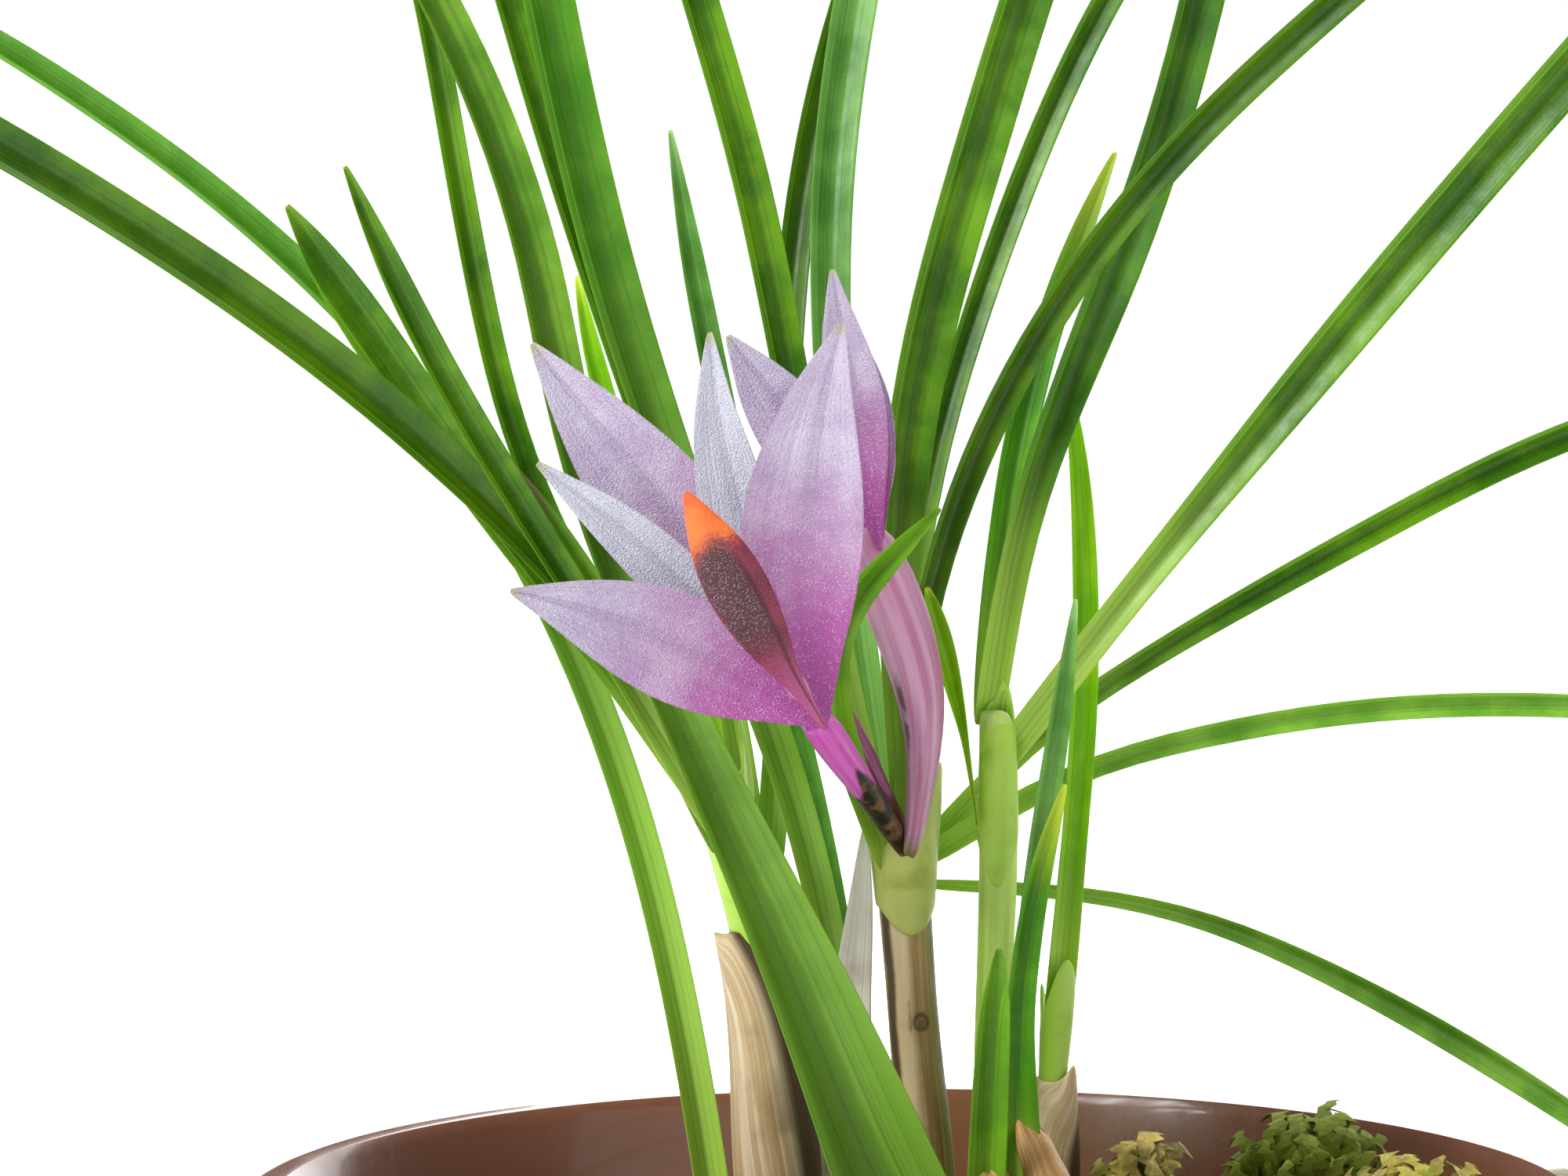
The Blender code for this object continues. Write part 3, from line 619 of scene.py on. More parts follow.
def litter_finish(name, dark, mid, pale, grain=(900, 900, 240), green=None):
    """Bark, moss or soil: each bit its own shade, grainy, with pale flecks."""
    f = Finish(name, roughness=0.9)
    shade_of_bit = f.noise(f.place, 330, 3)
    fibre = f.noise(f.stretched(f.place, grain), 1.0, 4, 0.65)
    f.colour = f.mix(f.ramp(shade_of_bit, 0.36, 0.64), dark, mid)
    f.lay(f.ramp(fibre, 0.45, 0.75, 0, 0.75), pale)
    if green:
        f.lay(f.ramp(f.noise(f.place, 95, 2), 0.46, 0.62, 0, 0.8), green)
    return f.done(f.ramp(fibre, 0.3, 0.7, 0.75, 0.95), f.bump(fibre, 0.3, 0.8))


DEEP, BRIGHT = (0.032, 0.115, 0), (0.12, 0.275, 0.004)
# The first is the pale foot: a leaf's own pale base, made brighter as painted backlit glow.
PALE_FOOT_AND_GLOW, GREEN_TIP = (0.36, 0.55, 0.08), (0.1, 0.22, 0.008)
LEAF_LOOKS = {                 # deep, bright, foot and tip colours, then what else is its own
    "green leaf": (DEEP, BRIGHT, PALE_FOOT_AND_GLOW, GREEN_TIP, {}),
    "dark leaf": ((0.022, 0.08, 0), (0.07, 0.17, 0), (0.2, 0.38, 0.03), (0.06, 0.17, 0.01),
                  {"foot_reach": 0.25}),
    "shoot leaf": ((0.1, 0.28, 0.008), (0.2, 0.44, 0.02), (0.3, 0.5, 0.05), (0.09, 0.22, 0.01),
                   {"midline": 0.25, "margin": 0.4}),
    "fresh leaf": ((0.15, 0.4, 0.003), (0.28, 0.56, 0.008), (0.42, 0.62, 0.06), (0.5, 0.66, 0.04),
                   {"midline": 0.12, "margin": 0.3}),
    "broad leaf": ((0.06, 0.165, 0.006), (0.155, 0.31, 0.022), (0.17, 0.35, 0.035), GREEN_TIP,
                   {"foot_reach": 0.5, "midline": 0.3, "inner": 0.45}),
    "tall leaf": ((0.024, 0.095, 0.001), (0.07, 0.2, 0.003), (0.38, 0.6, 0.07), (0.06, 0.17, 0.01),
                  {"foot_reach": 0.22}),
    "pale-footed leaf": ((0.05, 0.19, 0.006), (0.12, 0.31, 0.018), (0.36, 0.58, 0.08), GREEN_TIP,
                         {"foot_reach": 0.6, "midline": 0.3}),
    # A lighter copy of the green leaf, standing in for light from above on the leaves it falls on.
    "top-lit green leaf": ((0.1, 0.28, 0.018), (0.24, 0.47, 0.05), (0.34, 0.56, 0.07), (0.16, 0.36, 0.02),
                        {"midline": 0.2, "margin": 0.3}),
    "blue-green leaf": ((0.07, 0.22, 0.024), (0.18, 0.4, 0.08), (0.26, 0.5, 0.12), (0.24, 0.44, 0.14),
                        {"midline": 0.2, "margin": 0.3}),
    "browned leaf": (DEEP, BRIGHT, PALE_FOOT_AND_GLOW, (0.11, 0.05, 0.015), {"tip_reach": 0.2}),
    "yellow-tipped leaf": ((0.05, 0.21, 0.004), (0.12, 0.36, 0.01), (0.3, 0.5, 0.05), (0.42, 0.55, 0.03),
                           {"tip_reach": 0.3, "margin": 0.3}),
}
LEAF_FINISHES = {kind: leaf_finish(kind, *tones, **own) for kind, (*tones, own) in LEAF_LOOKS.items()}

LEAF_KINDS = {
    "front_broad_leaf": "broad leaf",
    "left_far_leaf": "pale-footed leaf",
    "broad_tall_leaf": "pale-footed leaf",
    "thin_middle_leaf": "blue-green leaf",
    "front_shoot": "shoot leaf",
    "left_long_leaf": "dark leaf",
    "left_round_leaf": "green leaf",
    "left_pointed_leaf": "green leaf",
    "left_back_tall_leaf": "green leaf",
    "thin_tall_leaf": "green leaf",
    "young_back_leaf": "fresh leaf",
    "dark_back_leaf": "dark leaf",
    "browned_tip_leaf": "browned leaf",
    "front_crossing_leaf": "dark leaf",
    "middle_tall_leaf": "green leaf",
    "front_upright_leaf": "green leaf",
    "right_back_tall_leaf": "green leaf",
    "pale_back_leaf": "blue-green leaf",
    "right_arching_leaf": "green leaf",
    # The next two leaves take the lighter green that stands for light from above.
    "right_low_leaf": "top-lit green leaf",
    "right_drooping_leaf": "top-lit green leaf",
    "small_front_leaf": "shoot leaf",
    "right_tall_leaf": "tall leaf",
    "right_broad_leaf": "green leaf",
    "yellow_tip_leaf": "yellow-tipped leaf",
    "stem_left_leaf": "fresh leaf",
    "yellow_upright_leaf": "fresh leaf",
    "blue_green_leaf": "blue-green leaf",
    "sheathing_leaf": "yellow-tipped leaf",
}


# ---------------- leaves

BLADE_WARP = 190               # how many swells a blade's wander has in a metre
FOLD = 1.6                     # how much narrower than its blade a channel or a keel is
KEEL_SPREAD = 0.7              # share of a blade's half width that its keel takes up
SKIN_DEPTH = 0.02 * MM         # a point lower than this lies on a blade's underside


def blade_piece(node, name, heart, channel, wander, levels=2, clasp=1.0, keel=0.0,
                foot_reach=FOOT_REACH, clasp_reach=CLASP_REACH):
    """A blade from its CAD node: its channel and keel deepened, its foot widened by clasp, then rounded."""
    piece = copy_of(node, name)
    spine = Spine(piece, rings_from(piece, heart, BLADE_RING))
    map_blade(piece, spine)
    points = places(piece)
    points[spine.rings[0]] -= spine.runs[0] * foot_reach
    for k, ring in enumerate(spine.rings):
        swell = 1 + (clasp - 1) * max(0, 1 - spine.along[k] * spine.length / clasp_reach)
        for i in ring:
            offset = points[i] - spine.middles[k]
            side = offset @ spine.across[k] / spine.half[k]
            middle = max(0, 1 - abs(side) * FOLD)
            under = offset @ spine.up[k] < SKIN_DEPTH and abs(side) < KEEL_SPREAD
            drop = (keel if under else channel) * spine.half[k] * middle
            points[i] += spine.across[k] * side * spine.half[k] * (swell - 1) - spine.up[k] * drop
            points[i] += np.array(noise.noise_vector(Vector(points[i]) * BLADE_WARP)) * wander * MM
    finish_form(piece, points, levels)
    return piece


def make_leaf(node, kind):
    in_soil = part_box(node)[0].z < SOIL + 5 * MM
    clasp = CLASPS.get(node, SOIL_CLASP if in_soil else CANE_CLASP)
    piece = blade_piece(node, node.replace("_leaf", "") + "_blade", PLANT_MIDDLE, channel=0.62, wander=0.14,
                        clasp=clasp, keel=0.45, foot_reach=FOOT_REACHES.get(node, FOOT_REACH))
    young = kind in ("fresh leaf", "shoot leaf") or node == "sheathing_leaf"
    dress(piece, LEAF_FINISHES[kind], "leaf_fresh" if young else "leaf_green", node)


# ---------------- flowers

PALE, VIOLET, MAGENTA = (0.52, 0.48, 0.59), (0.36, 0.28, 0.44), (0.36, 0.045, 0.28)
APEX = (0.4, 0.42, 0.14)
SEPAL = sepal_finish("lilac sepal", PALE, VIOLET, MAGENTA, 0.76, APEX)
PETAL = sepal_finish("pale petal", (0.58, 0.6, 0.66), (0.46, 0.46, 0.57), (0.38, 0.17, 0.38), 0.45, APEX)
LIP = lip_finish("crimson lip")
COLUMN = stalk_finish("pink column", (0.5, 0.12, 0.34), (0.7, 0.42, 0.6), (0.4, 0.1, 0.3), 0.05)
TEPALS = ("dorsal_sepal", "left_sepal", "right_sepal", "left_petal", "right_petal", "upper_petal")


def make_flowers():
    for flower, heart in FLOWER_HEARTS.items():
        for node in (f"{flower}_{part}" for part in TEPALS):
            if node not in NODES:
                continue
            piece = blade_piece(node, node + "_blade", heart, channel=0.22, wander=0.22, levels=3)
            dress(piece, SEPAL if "sepal" in node else PETAL, "sepal_violet", node)
        lip = blade_piece(flower + "_lip", flower + "_lip_blade", heart, channel=-0.1, wander=0.1, levels=3)
        dress(lip, LIP, "lip_crimson", flower + "_lip")
    column = blade_piece("front_column", "front_column_blade", FLOWER_HEARTS["front"], channel=0.0,
                         wander=0.05, levels=3)
    dress(column, COLUMN, "flower_stalk", "front_column")


# ---------------- canes and stalks

TOPS = {}                      # each stem's top: its middle, its direction and its half width
STEM_WARP = 340                # how many swells a stem's wander has in a metre
CANE_RUN_ON = 0.4 * MM         # how far a cane runs on past the ends of its node
STALK_RUN_ON = 1.3 * MM        # the same of a flower stalk, which starts inside its sheath
SPUR_RUN_ON = 2                # how many times further the spur runs on, into its flower
STALK_SWELLS = {"front_ovary": 1.3, "side_stalk": 1.25}


def stem_piece(node, run_on, swell=1.0):
    """A stem from its CAD node, its ends run on a little, with slight swellings, then rounded."""
    piece = copy_of(node, node + "_skin")
    spine = Spine(piece, rings_from(piece, PLANT_MIDDLE, STEM_RING))
    map_stem(piece, spine)
    TOPS[node] = (Vector(spine.middles[-1]), Vector(spine.runs[-1]), spine.half[-1])
    points = places(piece)
    for k, ring in enumerate(spine.rings):
        points[ring] = spine.middles[k] + (points[ring] - spine.middles[k]) * swell
    points[spine.rings[0]] -= spine.runs[0] * run_on
    points[spine.rings[-1]] += spine.runs[-1] * run_on * (SPUR_RUN_ON if node == "back_ovary" else 1)
    for i, point in enumerate(points):
        points[i] += np.array(noise.noise_vector(Vector(point) * STEM_WARP) * 0.12 * MM)
    finish_form(piece, points)
    return piece


def make_stems():
    green = cane_finish("green cane", (0.3, 0.47, 0.08), (0.16, 0.26, 0.03), (0.48, 0.62, 0.18),
                        (0.42, 0.36, 0.14), (0.42, 0.6, 0.14))
    tan = dried_cane_finish("dried cane")
    pale = cane_finish("pale stem", (0.42, 0.66, 0.07), (0.26, 0.48, 0.03), (0.58, 0.8, 0.18),
                       (0.34, 0.46, 0.1), (0.5, 0.66, 0.2), stripes=10)
    bark = cane_finish("rhizome skin", (0.2, 0.12, 0.05), (0.06, 0.03, 0.012), (0.36, 0.25, 0.12),
                       (0.16, 0.1, 0.04), (0.3, 0.28, 0.1), stripes=7)
    front = stalk_finish("scorched magenta stalk", (0.52, 0.06, 0.38), (0.66, 0.16, 0.55),
                         (0.01, 0.006, 0.004), 0.5)
    spur = stalk_finish("mauve spur", (0.4, 0.13, 0.25), (0.56, 0.33, 0.46), (0.2, 0.16, 0.05), 0.04, 0.9)
    side = stalk_finish("dark pink stalk", (0.3, 0.05, 0.15), (0.46, 0.15, 0.3), (0.1, 0.04, 0.02), 0.2)
    for node, finish, slot in (
        ("left_cane", green, "stem_green"),
        ("left_back_cane", green, "stem_green"),
        ("centre_cane", tan, "cane_tan"),
        ("right_stem", pale, "stem_green"),
        ("back_right_cane", green, "stem_green"),
        ("rhizome", bark, "rhizome_bark"),
        ("front_ovary", front, "flower_stalk"),
        ("back_ovary", spur, "flower_stalk"),
        ("side_stalk", side, "flower_stalk"),
    ):
        run_on = STALK_RUN_ON if slot == "flower_stalk" else CANE_RUN_ON
        dress(stem_piece(node, run_on, STALK_SWELLS.get(node, 1.0)), finish, slot, node)


# ---------------- sheaths

COLLAR_SIDES, COLLAR_STEPS = 24, 7
COLLAR_SKIN = 0.22 * MM        # how thick a collar's wall is
COLLAR_WARP = 420              # how many swells a collar's mouth has in a metre
MAP_MARGIN = 1.4               # how much taller than its tube a collar's map is, to take in its lobes


def width_at(level, flare):
    """How wide a collar is at this share of its height, against its foot."""
    return 1 + (flare - 1) * level ** 1.5


def reach_towards(around, lobes, sharpness):
    """How far the lobes of a collar's edge reach in this direction, in millimetres."""
    return max(reach * max(0, math.cos(around - math.radians(angle))) ** sharpness for angle, reach in lobes)


def make_collar(cane, finish, start_below, height, flare, lobes, falls=((0, 2.5),)):
    """A leaf sheath round a cane's top: a short tube whose mouth rises and whose foot falls in lobes.

    A lobe or a fall is an angle in degrees, counted from the front, and a reach in millimetres.
    """
    middle, run, radius = TOPS[cane]
    foot = middle - run * start_below
    collar = start(cane + "_collar", bpy.ops.mesh.primitive_circle_add, vertices=COLLAR_SIDES,
                   radius=radius * 1.02, location=foot, rotation=run.to_track_quat("Z", "Y").to_euler())
    with editing():
        for step in range(1, COLLAR_STEPS + 1):
            level = step / COLLAR_STEPS
            bpy.ops.mesh.extrude_region_move(TRANSFORM_OT_translate={"value": run * height / COLLAR_STEPS})
            size = width_at(level, flare) / width_at((step - 1) / COLLAR_STEPS, flare)
            bpy.ops.transform.resize(value=(size, size, 1), center_override=foot + run * height * level)
    bpy.ops.object.transform_apply(location=True, rotation=True, scale=True)
    for vertex in collar.data.vertices:
        out = vertex.co - foot
        level = out.dot(run) / height
        around = math.atan2(out.x, -out.y)
        rise = reach_towards(around, lobes, 3) * level ** 2
        fall = reach_towards(around, falls, 2) * (1 - level) ** 2
        vertex.co += run * (rise - fall) * MM
        vertex.co += noise.noise_vector(vertex.co * COLLAR_WARP) * 0.2 * MM * level
    wrap_map(collar, foot, run, height * MAP_MARGIN)
    apply_modifier(collar, "SOLIDIFY", thickness=COLLAR_SKIN, offset=0)
    smooth_form(collar, 2)
    shade(collar)
    dress(collar, finish, "stem_green")


def make_collars():
    cup = sheath_finish("pale leaf sheath", (0.46, 0.54, 0.08), (0.27, 0.32, 0.03), (0.68, 0.74, 0.24),
                        (0.56, 0.3, 0.07), (0.34, 0.26, 0.08), lap=0.9)
    fresh = sheath_finish("light green sheath", (0.36, 0.62, 0.04), (0.22, 0.44, 0.02), (0.52, 0.78, 0.12),
                          (0.44, 0.64, 0.08), (0.4, 0.64, 0.07))
    make_collar("centre_cane", cup, 2.6 * MM, 3.8 * MM, 1.4, ((75, 4.4), (-75, 2.2)), ((10, 1.6), (170, 1.4)))
    make_collar("right_stem", fresh, 7.0 * MM, 6.6 * MM, 0.86, ((150, 2.4), (-150, 1.2)))
    make_collar("left_cane", fresh, 7.0 * MM, 8.0 * MM, 2.2, ((50, 6.5), (-60, 3.5)))
    make_collar("left_back_cane", fresh, 5.0 * MM, 7.0 * MM, 1.7, ((-50, 4.0), (60, 3.0)))
    make_collar("back_right_cane", fresh, 4.5 * MM, 6.0 * MM, 1.3, ((40, 3.0), (-120, 1.5)))


def papery_sheath(node, rise, mouth):
    """A dry sheath from its CAD node: bellied, creased, drawn in to its mouth and risen at the front."""
    piece = copy_of(node, node + "_skin")
    spine = Spine(piece, rings_from(piece, PLANT_MIDDLE, SHEATH_RING))
    map_stem(piece, spine)
    points = places(piece)
    for k, ring in enumerate(spine.rings):
        level = spine.along[k]
        draw = 1 + (mouth - 1) * level ** 3 + 0.1 * math.sin(math.pi * level)
        for i in ring:
            out = points[i] - spine.middles[k]
            around = math.atan2(out[0], -out[1])
            crease = 1 + 0.07 * math.sin(around * 5 + level * 2) + 0.04 * math.sin(around * 11)
            lift = rise * max(0, math.cos(around - 0.2)) ** 2 * level ** 4 * MM
            points[i] = spine.middles[k] + out * draw * crease + spine.runs[k] * lift
    finish_form(piece, points)
    return piece


def make_sheaths():
    brown = paper_finish("brown papery sheath", (0.46, 0.32, 0.14), (0.085, 0.045, 0.018), (0.74, 0.62, 0.42),
                         shadow=0.3)
    white = paper_finish("white papery sheath", (0.66, 0.62, 0.54), (0.36, 0.24, 0.12), (0.9, 0.88, 0.82))
    for node, rise, mouth in (("left_papery_sheath", 2.6, 0.6), ("right_papery_sheath", 2.2, 0.7)):
        dress(papery_sheath(node, rise, mouth), brown, "papery_sheath", node)
    piece = blade_piece("centre_white_sheath", "centre_white_sheath_skin", PLANT_MIDDLE, channel=0.1,
                        wander=0.3, clasp=2.3, clasp_reach=24 * MM)
    dress(piece, white, "papery_sheath", "centre_white_sheath")


# ---------------- pot and potting mix

POT_SIDES = 144
FOOT_SHARE = 0.72              # the pot's foot, as a share of its rim
RIM_BAND = 6 * MM              # how tall the band under the rim is
POT_WALL, POT_FLOOR = 1.4 * MM, 1.6 * MM
AXIS = 0.001 * MM              # where an outline stops, just short of the axis


def make_pot():
    """The pot turned from its own outline, with a rounded lip, a stepped rim band and a bevelled foot."""
    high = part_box("pot")[1]
    rim, height = high.x, high.z
    foot, band = rim * FOOT_SHARE, height - RIM_BAND
    underside = [(AXIS, 0), (foot - 3.2 * MM, 0), (foot - 2.4 * MM, 0.0), (foot - 0.8 * MM, 0.0)]
    outside = [(foot, 0.8 * MM), (rim - 2.0 * MM, band - 1.0 * MM), (rim - 1.6 * MM, band - 0.3 * MM),
               (rim - 0.3 * MM, band)]
    lip = [(rim, height - 0.9 * MM), (rim - 0.25 * MM, height - 0.25 * MM), (rim - 0.9 * MM, height),
           (rim - 1.9 * MM, height - 0.1 * MM), (rim - 2.4 * MM, height - 0.8 * MM)]
    inside = [(rim - 3.3 * MM, band - 1.2 * MM), (foot - POT_WALL, 1.8 * MM), (foot - 2.4 * MM, POT_FLOOR),
              (AXIS, POT_FLOOR)]
    pot = start("plastic_pot", bpy.ops.mesh.primitive_plane_add, size=MM)
    shape = bmesh.new()
    points = [shape.verts.new((x, 0, z)) for x, z in underside + outside + lip + inside]
    for a, b in zip(points, points[1:]):
        shape.edges.new((a, b))
    shape.to_mesh(pot.data)
    shape.free()
    with editing():
        bpy.ops.mesh.spin(steps=POT_SIDES, angle=2 * math.pi, center=(0, 0, 0), axis=(0, 0, 1))
        bpy.ops.mesh.remove_doubles(threshold=0.02 * MM)
        bpy.ops.mesh.normals_make_consistent(inside=False)
    shade(pot, 35)
    dress(pot, plastic_finish("red-brown plastic"), "terracotta_plastic", "pot")


def make_mix():
    """The potting mix, its top few millimetres roughened."""
    mix = copy_of("potting_mix", "bark_potting_mix")
    smooth_form(mix, 2)
    points = places(mix)
    rough_above = points[:, 2].max() - 3 * MM
    for i, point in enumerate(points):
        if point[2] > rough_above:
            points[i][2] += noise.noise(Vector(point) * 420) * 0.5 * MM
    put_places(mix, points)
    shade(mix, 60)
    finish = litter_finish("potting mix", (0.022, 0.012, 0.006), (0.07, 0.036, 0.016), (0.16, 0.09, 0.04))
    dress(mix, finish, "bark_mix", "potting_mix")


STRANDS, STRAND_STEPS, STRAND_STEP = 7, 9, 0.52 * MM
MOSS_CORE = 0.68               # a tuft's core, as a share of its node
MOSS_SPREAD = 0.75             # how far out in a tuft its strands start
MOSS_GRAIN = (700, 700, 300)


def moss_strand(seed):
    """One curled scrap of moss leaf: a thin blade, widened and notched as it is extruded along a bend."""
    chance = random.Random(seed)
    strand = start("moss_strand", bpy.ops.mesh.primitive_circle_add, vertices=4, radius=0.2 * MM,
                   fill_type="NGON")
    with editing():
        bpy.ops.transform.resize(value=(1.4, 0.5, 1))
        lean, width = 0.0, 1.0
        for step in range(1, STRAND_STEPS + 1):
            lean += chance.uniform(0.1, 0.42)
            aside = chance.uniform(-0.16, 0.16) * MM
            move = Vector((aside, math.sin(lean) * STRAND_STEP, math.cos(lean) * STRAND_STEP))
            bpy.ops.mesh.extrude_region_move(TRANSFORM_OT_translate={"value": move})
            leaf_width = 0.25 + 2.0 * math.sin(math.pi * step / (STRAND_STEPS + 0.6)) ** 0.8
            wanted = leaf_width * (0.72 if step % 2 else 1.15)
            bpy.ops.transform.resize(value=(wanted / width, 1, 1))
            bpy.ops.transform.rotate(value=chance.uniform(-0.25, 0.25), orient_axis="Z",
                                     center_override=strand.data.vertices[0].co)
            width = wanted
    return strand


def add_copy(shape, pattern, place_of):
    """Add a pattern's mesh to a growing one, with each of its vertices where place_of puts it."""
    first = len(shape.verts)
    shape.from_mesh(pattern.data)
    shape.verts.ensure_lookup_table()
    for vertex in shape.verts[first:]:
        vertex.co = place_of(vertex.co)


def make_moss():
    olive = litter_finish("dry moss", (0.13, 0.1, 0.012), (0.36, 0.3, 0.03), (0.66, 0.5, 0.18),
                          MOSS_GRAIN, green=(0.2, 0.28, 0.01))
    green = litter_finish("green moss", (0.05, 0.05, 0.006), (0.17, 0.18, 0.014), (0.4, 0.36, 0.1),
                          MOSS_GRAIN, green=(0.15, 0.2, 0.006))
    patterns = [moss_strand(seed) for seed in range(STRANDS)]
    chance = random.Random(11)
    for node, strands, finish in (("moss_right", 260, olive), ("moss_back", 230, green),
                                  ("moss_small", 110, olive)):
        low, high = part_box(node)
        middle, half = (low + high) / 2, (high - low) / 2
        shape = bmesh.new()
        for _ in range(strands):
            pattern = chance.choice(patterns)
            around, height = chance.uniform(0, 2 * math.pi), chance.uniform(-0.6, 1)
            out = math.sqrt(max(0, 1 - height * height)) * chance.uniform(0.5, 1.0)
            spot = Vector((math.cos(around) * out, math.sin(around) * out, height * 0.8))
            lean = Vector((chance.uniform(-0.6, 0.6), chance.uniform(-0.6, 0.6), 0.2))
            turn = Vector((0, 0, 1)).rotation_difference(spot + lean).to_matrix().to_4x4()
            size = chance.uniform(0.42, 0.95)
            foot = middle + spot * half * MOSS_SPREAD
            add_copy(shape, pattern, lambda corner: turn @ (corner * size) + foot)
        moss = copy_of(node, node + "_tuft")
        smooth_form(moss, 1)
        put_places(moss, np.array(middle) + (places(moss) - np.array(middle)) * MOSS_CORE)
        shape.from_mesh(moss.data)
        shape.to_mesh(moss.data)
        shape.free()
        dress(moss, finish, "moss", node)
    clear_away(patterns)


CHIPS, CHIP_SHAPES = 230, 5
GOLDEN_TURN = 2.39996          # from one chip to the next, in radians: no two come into line
BARK_MARGIN = 3.2 * MM         # how far from the pot's wall the chips stop


def bark_chip(seed):
    """One flake of bark: a block flattened, subdivided and roughened."""
    chance = random.Random(seed)
    chip = start("bark_chip", bpy.ops.mesh.primitive_cube_add, size=2 * MM)
    with editing():
        length, width, depth = chance.uniform(1.1, 1.9), chance.uniform(0.7, 1.2), chance.uniform(0.3, 0.55)
        bpy.ops.transform.resize(value=(length, width, depth))
        bpy.ops.mesh.subdivide(number_cuts=2)
    own_noise = Vector((seed * 7.1, 0, 0))
    for vertex in chip.data.vertices:
        vertex.co += noise.noise_vector(vertex.co * 900 + own_noise) * 0.45 * MM
    return chip


def make_bark():
    """Loose chips all over the potting mix, each a copy of one of a few shapes."""
    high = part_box("potting_mix")[1]
    finish = litter_finish("bark chips", (0.045, 0.022, 0.01), (0.13, 0.065, 0.028), (0.28, 0.17, 0.085))
    patterns = [bark_chip(seed) for seed in range(CHIP_SHAPES)]
    chance = random.Random(4)
    shape = bmesh.new()
    for k in range(CHIPS):
        reach = (high.x - BARK_MARGIN) * math.sqrt((k + 0.5) / CHIPS)
        turn = k * GOLDEN_TURN
        level = high.z + chance.uniform(-0.9, 0.3) * MM
        spot = Vector((reach * math.cos(turn), reach * math.sin(turn), level))
        pattern = chance.choice(patterns)
        tip = Vector((chance.uniform(-0.45, 0.45), chance.uniform(-0.45, 0.45), 1)).to_track_quat("Z", "Y")
        spin = Vector((1, 0, 0)).rotation_difference(Vector((math.cos(k * 1.7), math.sin(k * 1.7), 0)))
        size = chance.uniform(0.7, 1.25)
        add_copy(shape, pattern, lambda corner: tip @ (spin @ (corner * size)) + spot)
    chips = bpy.data.objects.new("bark_chips", bpy.data.meshes.new("bark_chips"))
    shape.to_mesh(chips.data)
    shape.free()
    bpy.context.scene.collection.objects.link(chips)
    shade(chips, 40)
    dress(chips, finish, "bark_mix")
    clear_away(patterns)


def make_scrap():
    finish = paper_finish("dead leaf", (0.4, 0.26, 0.1), (0.18, 0.1, 0.03), (0.58, 0.42, 0.2))
    piece = blade_piece("dry_leaf_scrap", "dry_leaf_curl", PLANT_MIDDLE, channel=0.3, wander=0.5)
    dress(piece, finish, "dry_leaf", "dry_leaf_scrap")


BRACT_SKIN = 0.16 * MM
BRACT_LENGTH, BRACT_HALF, BRACT_CURL = 6.5, 1.5, 2.4
BRACT_LEAN = math.radians(-14)
BRACTS = (                     # place from the front shoot's middle, height, turn in degrees, size
    (0.9, -0.9, 63.0, 25, 1.0),
    (2.4, -0.4, 62.4, 65, 1.05),
    (3.8, 1.6, 63.4, 40, 1.3),
    (-0.9, 0.4, 62.0, -60, 0.9),
    (2.2, 4.0, 62.8, 100, 1.1),
)


def bract_shape():
    """One torn bract: a grid rolled to a gutter that narrows, leans out and crinkles towards its tip."""
    pattern = start("bract_shape", bpy.ops.mesh.primitive_grid_add, x_subdivisions=6, y_subdivisions=8,
                    size=1)
    for vertex in pattern.data.vertices:
        across, along = vertex.co.x, vertex.co.y + 0.5
        half = BRACT_HALF * (1 - along ** 3) + 0.25 * math.sin(along * 19) * along
        bend = across * BRACT_CURL
        tear = 0.4 * math.sin(across * 15) * along
        vertex.co = Vector((math.sin(bend) * half, -math.cos(bend) * half * 0.8 + along * along * 1.2,
                            along * BRACT_LENGTH + tear)) * MM
    apply_modifier(pattern, "SOLIDIFY", thickness=BRACT_SKIN, offset=0)
    smooth_form(pattern, 1)
    return pattern


def make_dry_bracts():
    """Small torn bracts, one modelled and copied, round the feet of the front shoots."""
    finish = paper_finish("torn brown bract", (0.44, 0.21, 0.06), (0.16, 0.06, 0.015), (0.64, 0.4, 0.15))
    low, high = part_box("front_shoot")
    middle = (low + high) / 2
    pattern = bract_shape()
    for number, (x, y, z, turn, size) in enumerate(BRACTS, start=1):
        bract = pattern.copy()
        bract.data = pattern.data.copy()
        bract.name = f"dry_bract_{number}"
        bpy.context.scene.collection.objects.link(bract)
        choose(bract)
        bract.scale = (size, size, size)
        bract.rotation_euler = (BRACT_LEAN, 0, math.radians(turn))
        bract.location = (middle.x + x * MM, middle.y + y * MM, z * MM)
        bpy.ops.object.transform_apply(location=True, rotation=True, scale=True)
        shade(bract)
        dress(bract, finish, "papery_sheath")
    clear_away([pattern])


# ---------------- stage

FLOOR_RADIUS = 2.5
WHITE, LIGHT_GREY, PALE_GREY = (1, 1, 1), (0.9, 0.9, 0.9), (0.86, 0.86, 0.86)
SOFT_LIGHT, SEEN_LIGHT = 0.2, 1.1     # the world's strength on the plant, and as the camera sees it
AIM = Vector((0, 0, 110)) * MM
LAMPS = (                      # name, place and size in millimetres, watts
    ("key", (-420, -330, 560), 260, 5.4),
    ("fill", (460, -380, 260), 500, 0.6),
    ("top", (80, 160, 620), 400, 3.2),
    ("back", (160, 520, 300), 500, 2.4),
)
EYE = Vector((-7.7, -250, 109)) * MM
EYE_DROP = 2.32                # how far below level the camera looks, in degrees
SENSOR, FOCAL_LENGTH = 36.0, 104.8


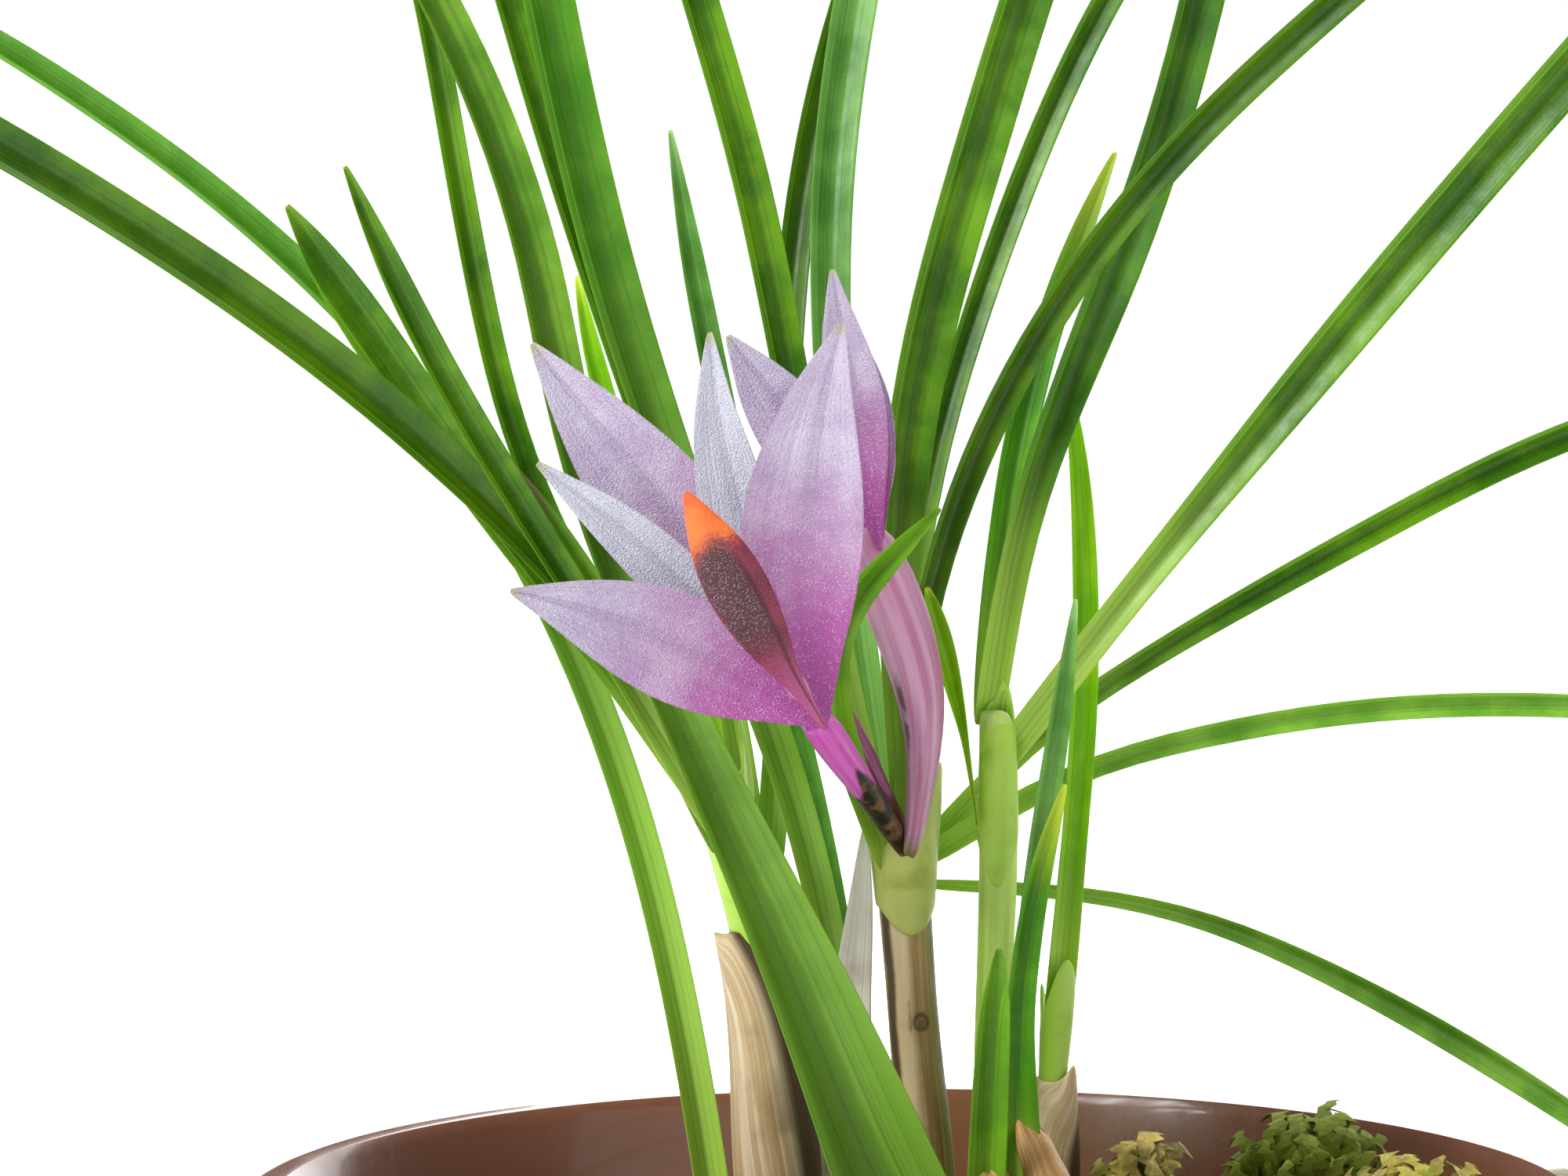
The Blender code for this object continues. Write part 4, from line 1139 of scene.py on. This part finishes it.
def make_floor():
    """Pale paper that glows more and more with distance, so that it meets the backdrop without a line."""
    floor = start("floor", bpy.ops.mesh.primitive_circle_add, vertices=96, radius=FLOOR_RADIUS,
                  fill_type="NGON")
    paper = Finish("pale floor", roughness=0.9)
    paper.colour = paper.mix(paper.ramp(paper.noise(paper.place, 8, 2), 0.3, 0.7), PALE_GREY, LIGHT_GREY)
    reach = paper.add("ShaderNodeVectorMath", operation="LENGTH")
    paper.join(paper.place, reach.inputs[0])
    glowing = paper.ramp(reach.outputs["Value"], 0.1, 0.32, 0.25, SEEN_LIGHT)
    paper.join(WHITE, paper.shader.inputs["Emission Color"])
    paper.join(glowing, paper.shader.inputs["Emission Strength"])
    floor.data.materials.append(paper.done())


def make_world():
    """A soft white world that is brighter where it is seen than where it lights."""
    world = bpy.data.worlds.new("studio")
    world.use_nodes = True
    bpy.context.scene.world = world
    nodes, links = world.node_tree.nodes, world.node_tree.links
    soft, seen = nodes["Background"], nodes.new("ShaderNodeBackground")
    for background, strength in ((soft, SOFT_LIGHT), (seen, SEEN_LIGHT)):
        background.inputs["Color"].default_value = (*WHITE, 1)
        background.inputs["Strength"].default_value = strength
    path = nodes.new("ShaderNodeLightPath")
    mix = nodes.new("ShaderNodeMixShader")
    links.new(path.outputs["Is Camera Ray"], mix.inputs[0])
    links.new(soft.outputs[0], mix.inputs[1])
    links.new(seen.outputs[0], mix.inputs[2])
    links.new(mix.outputs[0], nodes["World Output"].inputs["Surface"])


def make_lamps():
    for name, spot, size, power in LAMPS:
        lamp = bpy.data.lights.new(name, "AREA")
        lamp.size, lamp.energy = size * MM, power
        holder = bpy.data.objects.new(name, lamp)
        holder.location = Vector(spot) * MM
        holder.rotation_euler = (AIM - holder.location).to_track_quat("-Z", "Y").to_euler()
        bpy.context.scene.collection.objects.link(holder)


def make_camera():
    lens = bpy.data.cameras.new("camera")
    lens.sensor_width, lens.lens = SENSOR, FOCAL_LENGTH
    lens.clip_start = 10 * MM
    camera = bpy.data.objects.new("camera", lens)
    camera.location = EYE
    camera.rotation_euler = (math.radians(90 - EYE_DROP), 0, 0)
    bpy.context.scene.collection.objects.link(camera)
    bpy.context.scene.camera = camera
    bpy.context.scene.view_settings.view_transform = "Standard"


make_pot()
make_mix()
make_bark()
make_moss()
make_scrap()
make_stems()
make_sheaths()
make_collars()
make_dry_bracts()
for leaf_node, leaf_kind in LEAF_KINDS.items():
    make_leaf(leaf_node, leaf_kind)
make_flowers()
make_floor()
make_world()
make_lamps()
make_camera()
